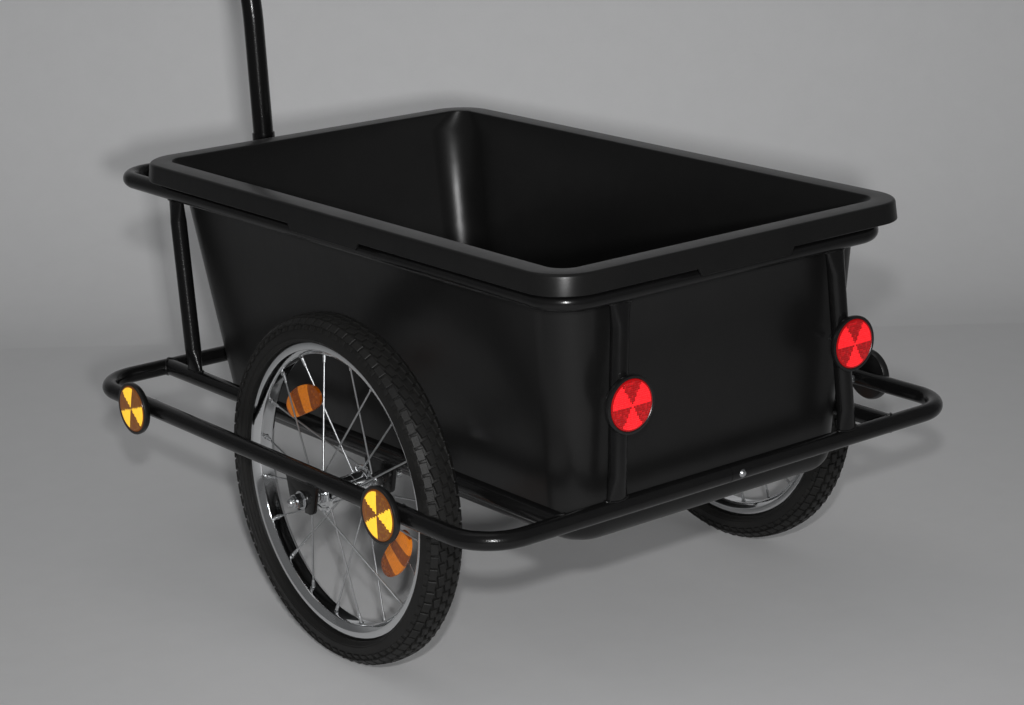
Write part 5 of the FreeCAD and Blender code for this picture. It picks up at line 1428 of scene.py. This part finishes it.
class CARGO_OT_round_reflectors(bpy.types.Operator):
    """Makes the round reflectors, their cups, and the studs and nuts behind them"""

    bl_idname = "cargo.round_reflectors"
    bl_label = "Fit round reflectors"

    def execute(self, context):
        sizes = context.scene.trailer_reflectors
        tube = context.scene.trailer_tubes.tube_radius
        back = tube + sizes.boss_height
        front = back + sizes.housing_depth
        outer = sizes.housing_radius
        seat = front - sizes.lens_depth
        cups = bmesh.new()
        nuts = bmesh.new()
        lenses = {"red": bmesh.new(), "amber": bmesh.new()}
        maps = {name: shape.loops.layers.uv.new("face") for name, shape in lenses.items()}
        for point, out, tone, turn, slack in reflector_spots(context):
            place = facing(point, out)
            wide = sizes.lens_radius
            cup = [
                (0, tube + 0.0001), (sizes.boss_radius, tube + 0.0001), (sizes.boss_radius, back - 0.0004),
                (outer - 0.0070, back), (outer - 0.0022, back + 0.0010), (outer - 0.0005, back + 0.0032),
                (outer, back + 0.0060), (outer, front - 0.0012), (outer - 0.0004, front - 0.0003),
                (outer - 0.0012, front), (wide + 0.0007, front - 0.0001), (wide + 0.0001, front - 0.0007),
                (wide + 0.0001, seat), (0, seat),
            ]
            turn_profile(cups, cup, 56, place)
            crown = front + sizes.lens_crown
            lens = [(0, seat + 0.0001), (wide, seat + 0.0001), (wide, front - 0.0008)]
            lens.append((wide - 0.0004, front - 0.0001))
            for step in range(1, 8):
                share = step / 8
                lens.append((wide * (1 - share), front + (crown - front) * (1 - (1 - share) ** 2)))
            lens.append((0, crown))
            turned = place @ Matrix.Rotation(turn, 4, "Z")
            turn_profile(lenses[tone], lens, 56, turned, face_map=(maps[tone], wide))
            length_back = tube + sizes.nut_height + 2 * slack + 0.0015
            stud = [
                (0, -length_back), (sizes.stud_radius - 0.0004, -length_back),
                (sizes.stud_radius, -length_back + 0.0004), (sizes.stud_radius, tube), (0, tube),
            ]
            turn_profile(nuts, stud, 20, place)
            behind = facing(point - out * (tube + 2 * slack), -out)
            nut = nut_profile(sizes.nut_radius, sizes.stud_radius + 0.00005, sizes.nut_height)
            turn_profile(nuts, nut, 36, behind @ Matrix.Rotation(0.3, 4, "Z"), closed=True)
        for name, shape, tone, slot, node, degrees in (
            ("reflector_cups", cups, "moulded_black", "black_plastic", "reflector_housings", 32),
            ("reflector_nuts", nuts, "bright_zinc", "zinc_steel", "reflector_fixings", 28),
            ("red_lenses", lenses["red"], "red_prisms", "red_lens", "rear_lenses_red", 32),
            ("amber_lenses", lenses["amber"], "amber_prisms", "amber_lens", "side_lenses_amber", 32),
        ):
            shape_piece(name, shape, finish(tone), "frame", slot, node, degrees=degrees)
        return {"FINISHED"}


# Drawbar, knob and coupling


def drawbar_course(context):
    """Foot, corner, start and end of the drawbar's run, and the way that the run goes."""
    bar = context.scene.trailer_drawbar
    tubes = context.scene.trailer_tubes
    up = Vector((math.sin(bar.lean), 0, math.cos(bar.lean)))
    run = Vector((math.sin(bar.lean + bar.bend), 0, math.cos(bar.lean + bar.bend)))
    reach = tubes.upper_front + (tubes.tube_radius + bar.socket_radius) / math.cos(bar.lean)
    height = bar.socket_low + bar.foot_rise * math.cos(bar.lean)
    foot = Vector((AXLE_X + reach + (height - tubes.upper_height) * math.tan(bar.lean), 0, height))
    tangent = bar.bend_radius * math.tan(bar.bend / 2)
    corner = foot + up * (bar.straight + tangent)
    start = corner + run * tangent
    return foot, corner, start, start + run * bar.run, run


class CARGO_OT_drawbar(bpy.types.Operator):
    """Bends the drawbar and slides on its ribbed grip"""

    bl_idname = "cargo.drawbar"
    bl_label = "Bend drawbar"

    def execute(self, context):
        bar = context.scene.trailer_drawbar
        foot, corner, start, end, run = drawbar_course(context)
        enamel = finish("sprayed_enamel")
        path = [foot, corner, end]
        tube = swept("drawbar_skin", path, enamel, bar.radius, bar.bend_radius, 40, 40)
        settle(tube, "drawbar", "black_paint", "drawbar_tube", degrees=40)
        rubber = finish("soft_rubber")
        seat = facing(start + run * bar.grip_start, run, up=LEFTWARD)
        outer = bar.radius + bar.grip_wall
        long = bar.grip_length
        sleeve_profile = [
            (bar.radius + 0.0001, 0.0), (outer - 0.0010, 0.0), (outer, 0.0010), (outer, 0.0050),
            (outer - 0.0016, 0.0066), (outer - 0.0016, long - 0.0066), (outer, long - 0.0050),
            (outer, long - 0.0010), (outer - 0.0010, long), (bar.radius + 0.0001, long),
        ]
        shape = turn_profile(bmesh.new(), sleeve_profile, 40, seat, closed=True)
        sleeve = new_object("sleeve", finished_mesh("sleeve", shape), rubber)
        half = [(outer - 0.0002, 0.0005), (outer - 0.0006, 0.0013), (outer - 0.0018, 0.0016)]
        origin = facing(Vector(), run, up=LEFTWARD)
        rib = turn_profile(bmesh.new(), mirrored(half) + half, 40, origin, closed=True)
        spacing = 0.0046
        number = int((long - 0.018) / spacing)
        first = seat.translation + run * ((long - (number - 1) * spacing) / 2)
        ribs = repeated("ribs", rib, rubber, number, first, step=tuple(run * spacing))
        grip = joined("ribbed_grip", [sleeve, ribs])
        settle(grip, "drawbar", "black_rubber", "handle_grip", degrees=35)
        return {"FINISHED"}


class CARGO_OT_coupling(bpy.types.Operator):
    """Dresses the fork, the swivel block, the seat post clamp, the pins and the knob"""

    bl_idname = "cargo.coupling"
    bl_label = "Dress coupling"

    def execute(self, context):
        for node, name, tone, body, slot, bevel in (
            ("coupling_fork", "fork_casting", "sprayed_enamel", "drawbar", "black_paint", 0.0007),
            ("swivel_block", "swivel_moulding", "moulded_black", "swivel_block", "black_plastic", 0.0008),
            ("seat_clamp_rear", "seat_clamp_rear_casting", "clamp_alloy", "seat_clamp", "alloy", 0.0007),
            ("seat_clamp_front", "seat_clamp_front_casting", "clamp_alloy", "seat_clamp", "alloy", 0.0007),
            ("pitch_pin", "pitch_pin_steel", "bright_zinc", "drawbar", "zinc_steel", 0.0005),
            ("yaw_pin", "yaw_pin_steel", "bright_zinc", "seat_clamp", "zinc_steel", 0.0005),
            ("clamp_screws", "clamp_screws_steel", "bright_zinc", "seat_clamp", "zinc_steel", 0.0004),
            ("clamp_knob", "clamp_knob_moulding", "moulded_black", "clamp_knob", "black_plastic", 0.0010),
        ):
            copied(node, name, finish(tone), body, slot, bevel=bevel)
        return {"FINISHED"}


class CARGO_OT_ring_screws(bpy.types.Operator):
    """Sets the domed screws and sleeves that join the halves of the lower ring"""

    bl_idname = "cargo.ring_screws"
    bl_label = "Screw ring together"

    def execute(self, context):
        zinc = finish("bright_zinc")
        copied("ring_joint_sleeves", "ring_sleeves_steel", zinc, "frame", "zinc_steel", degrees=38)
        copied("ring_joint_bolts", "ring_bolts_steel", zinc, "frame", "zinc_steel", bevel=0.0003)
        return {"FINISHED"}


# Stage

PHOTO_WIDTH = 1024
PHOTO_HEIGHT = 705
FOCAL_PIXELS = 2478.96
AXIS_PIXEL = (537.55, 280.18)
EYE_FROM_AXLE = Vector((-2.06759, 1.66797, 1.05902))
EYE_RIGHT = Vector((-0.6304564, -0.7758352, -0.0245885))
EYE_DOWN = Vector((-0.1808932, 0.1776542, -0.9673245))
EYE_AHEAD = Vector((0.7548526, -0.6054080, -0.2523465))
# how far ahead of the camera the paper starts to rise, how tightly, and its height and half width
SWEEP_START = 3.72
SWEEP_RADIUS = 0.6
SWEEP_HEIGHT = 4.0
SWEEP_HALF = 7.0
# how fast the paper clears as it turns edge on to the camera
SWEEP_FADE = 3.2


def lamp(name, point, target, size, watts, spread):
    """A square lamp aimed at a point, with its beam's spread in degrees."""
    data = bpy.data.lights.new(name, "AREA")
    data.shape = "SQUARE"
    data.size = size
    data.energy = watts
    data.spread = math.radians(spread)
    light = bpy.data.objects.new(name, data)
    bpy.context.scene.collection.objects.link(light)
    light.matrix_world = facing(Vector(point), Vector(point) - Vector(target))


def stage_paper(name):
    """Matt pale paper with a little dust."""
    material, shader, place = new_material(name, Roughness=0.85)
    veil(material, shader, place, bpy.context.scene.trailer_colours.floor, 0.3, 0.9)
    return material


def one_sided(material):
    """Shows a sheet and its mirror image from the front alone, and lets all other light pass."""
    tree = material.node_tree
    shader = tree.nodes["Principled BSDF"]
    output = tree.nodes["Material Output"]
    clear = add_node(tree, "ShaderNodeBsdfTransparent")
    behind = add_node(tree, "ShaderNodeNewGeometry").outputs["Backfacing"]
    rays = add_node(tree, "ShaderNodeLightPath").outputs
    seen = maths(tree, "MAXIMUM", rays["Is Camera Ray"], rays["Is Glossy Ray"])
    # it fades out where it is seen edge on
    edge_on = add_node(tree, "ShaderNodeLayerWeight", {"Blend": 0.5}).outputs["Facing"]
    square_on = maths(tree, "MULTIPLY", maths(tree, "SUBTRACT", 1.0, edge_on), SWEEP_FADE)
    seen = maths(tree, "MULTIPLY", seen, maths(tree, "MINIMUM", 1.0, square_on))
    passed = maths(tree, "MAXIMUM", behind, maths(tree, "SUBTRACT", 1.0, seen))
    blend = add_node(tree, "ShaderNodeMixShader", {0: passed})
    tree.links.new(shader.outputs[0], blend.inputs[1])
    tree.links.new(clear.outputs[0], blend.inputs[2])
    tree.links.new(blend.outputs[0], output.inputs["Surface"])
    return material


def stage_sheet(name, shape, material):
    mesh = finished_mesh(name, shape, turned_out=False)
    for face in mesh.polygons:
        face.use_smooth = True
    new_object(name, mesh, material)


class CARGO_OT_stage(bpy.types.Operator):
    """Lays the pale floor, hangs the lamps and sets the camera at the photograph's angle"""

    bl_idname = "cargo.stage"
    bl_label = "Set stage"

    def execute(self, context):
        scene = context.scene
        scene.view_settings.view_transform = "Standard"
        eye_data = bpy.data.cameras.new("photo_camera")
        eye_data.sensor_fit = "HORIZONTAL"
        eye_data.sensor_width = 36.0
        eye_data.lens = FOCAL_PIXELS / PHOTO_WIDTH * eye_data.sensor_width
        eye_data.shift_x = (PHOTO_WIDTH / 2 - AXIS_PIXEL[0]) / PHOTO_WIDTH
        eye_data.shift_y = (AXIS_PIXEL[1] - PHOTO_HEIGHT / 2) / PHOTO_WIDTH
        eye_data.clip_start = 0.05
        eye = bpy.data.objects.new("photo_camera", eye_data)
        scene.collection.objects.link(eye)
        turn = Matrix((EYE_RIGHT, -EYE_DOWN, -EYE_AHEAD)).transposed().to_4x4()
        eye.matrix_world = Matrix.Translation(EYE_FROM_AXLE + Vector((AXLE_X, 0, 0))) @ turn
        scene.camera = eye

        floor = bmesh.new()
        bmesh.ops.create_grid(floor, x_segments=8, y_segments=8, size=12.0)
        stage_sheet("studio_floor", floor, stage_paper("floor_paper"))
        # a paper sweep that rises behind the trailer, seen from its lit side alone
        ahead = Vector((EYE_AHEAD.x, EYE_AHEAD.y, 0)).normalized()
        across = Vector((ahead.y, -ahead.x, 0))
        ground = Vector((eye.location.x, eye.location.y, 0.0004))
        profile = []
        for step in range(17):
            turn = math.pi / 2 * step / 16
            reach = SWEEP_START + SWEEP_RADIUS * math.sin(turn)
            profile.append((reach, SWEEP_RADIUS * (1 - math.cos(turn))))
        profile.append((SWEEP_START + SWEEP_RADIUS, SWEEP_HEIGHT))
        sweep = bmesh.new()
        lines = []
        for reach, height in profile:
            foot = ground + ahead * reach + UP * height
            lines.append([sweep.verts.new(foot + across * SWEEP_HALF * side) for side in (-1, 1)])
        for low, high in zip(lines, lines[1:]):
            sweep.faces.new((low[0], low[1], high[1], high[0]))
        stage_sheet("studio_sweep", sweep, one_sided(stage_paper("sweep_paper")))

        world = bpy.data.worlds.new("studio")
        scene.world = world
        world.use_nodes = True
        sky = world.node_tree.nodes["Background"]
        sky.inputs["Color"].default_value = (0.98, 0.99, 1.0, 1)
        sky.inputs["Strength"].default_value = 0.125
        eye_point = eye.matrix_world.translation
        target = Vector((AXLE_X, 0, 0.3))
        low_lamp = eye_point + EYE_RIGHT * 0.085 + EYE_DOWN * 0.06
        high_lamp = eye_point - EYE_DOWN * 0.23
        lamp("low_lamp", low_lamp, target, 0.07, 5.4, 80)
        lamp("high_lamp", high_lamp, target, 0.07, 3.9, 80)
        top = ground + ahead * (SWEEP_START + SWEEP_RADIUS) + UP * 0.9
        above = top - ahead * 1.4 - across * 0.8 + UP * 2.4
        lamp("sweep_lamp", above, top - across * 0.6, 2.2, 4.0, 110)
        return {"FINISHED"}


class CARGO_PT_panel(bpy.types.Panel):
    """Lists every step in the order in which the trailer is dressed"""

    bl_idname = "CARGO_PT_panel"
    bl_label = "Cargo trailer"
    bl_space_type = "VIEW_3D"
    bl_region_type = "UI"
    bl_category = "Cargo trailer"

    def draw(self, context):
        column = self.layout.column(align=True)
        for step in STEPS:
            column.operator(step.bl_idname)
        for group in GROUPED_SIZES:
            box = self.layout.box()
            sizes = getattr(context.scene, group)
            for name in sizes.bl_rna.properties.keys():
                if name not in ("rna_type", "name"):
                    box.prop(sizes, name)


GROUPED_SIZES = {
    "trailer_tubes": TrailerTubeSizes, "trailer_wheels": TrailerWheelSizes,
    "trailer_axles": TrailerAxleSizes, "trailer_tub": TrailerTubSizes,
    "trailer_reflectors": TrailerReflectorSizes, "trailer_drawbar": TrailerDrawbarSizes,
    "trailer_colours": TrailerColours,
}
STEPS = (
    CARGO_OT_finishes, CARGO_OT_stage, CARGO_OT_tubes, CARGO_OT_posts, CARGO_OT_welds,
    CARGO_OT_ring_screws, CARGO_OT_tyres, CARGO_OT_rims, CARGO_OT_hubs, CARGO_OT_spokes,
    CARGO_OT_clip_reflectors, CARGO_OT_axle_fittings, CARGO_OT_tub, CARGO_OT_round_reflectors,
    CARGO_OT_drawbar, CARGO_OT_coupling,
)


def register():
    for group in GROUPED_SIZES.values():
        bpy.utils.register_class(group)
    for name, group in GROUPED_SIZES.items():
        setattr(bpy.types.Scene, name, PointerProperty(type=group))
    for step in STEPS:
        bpy.utils.register_class(step)
    bpy.utils.register_class(CARGO_PT_panel)


def unregister():
    bpy.utils.unregister_class(CARGO_PT_panel)
    for step in reversed(STEPS):
        bpy.utils.unregister_class(step)
    for name, group in GROUPED_SIZES.items():
        delattr(bpy.types.Scene, name)
        bpy.utils.unregister_class(group)


def main():
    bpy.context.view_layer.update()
    register()
    for step in STEPS:
        family, name = step.bl_idname.split(".")
        getattr(getattr(bpy.ops, family), name)()


if __name__ == "__main__":
    main()
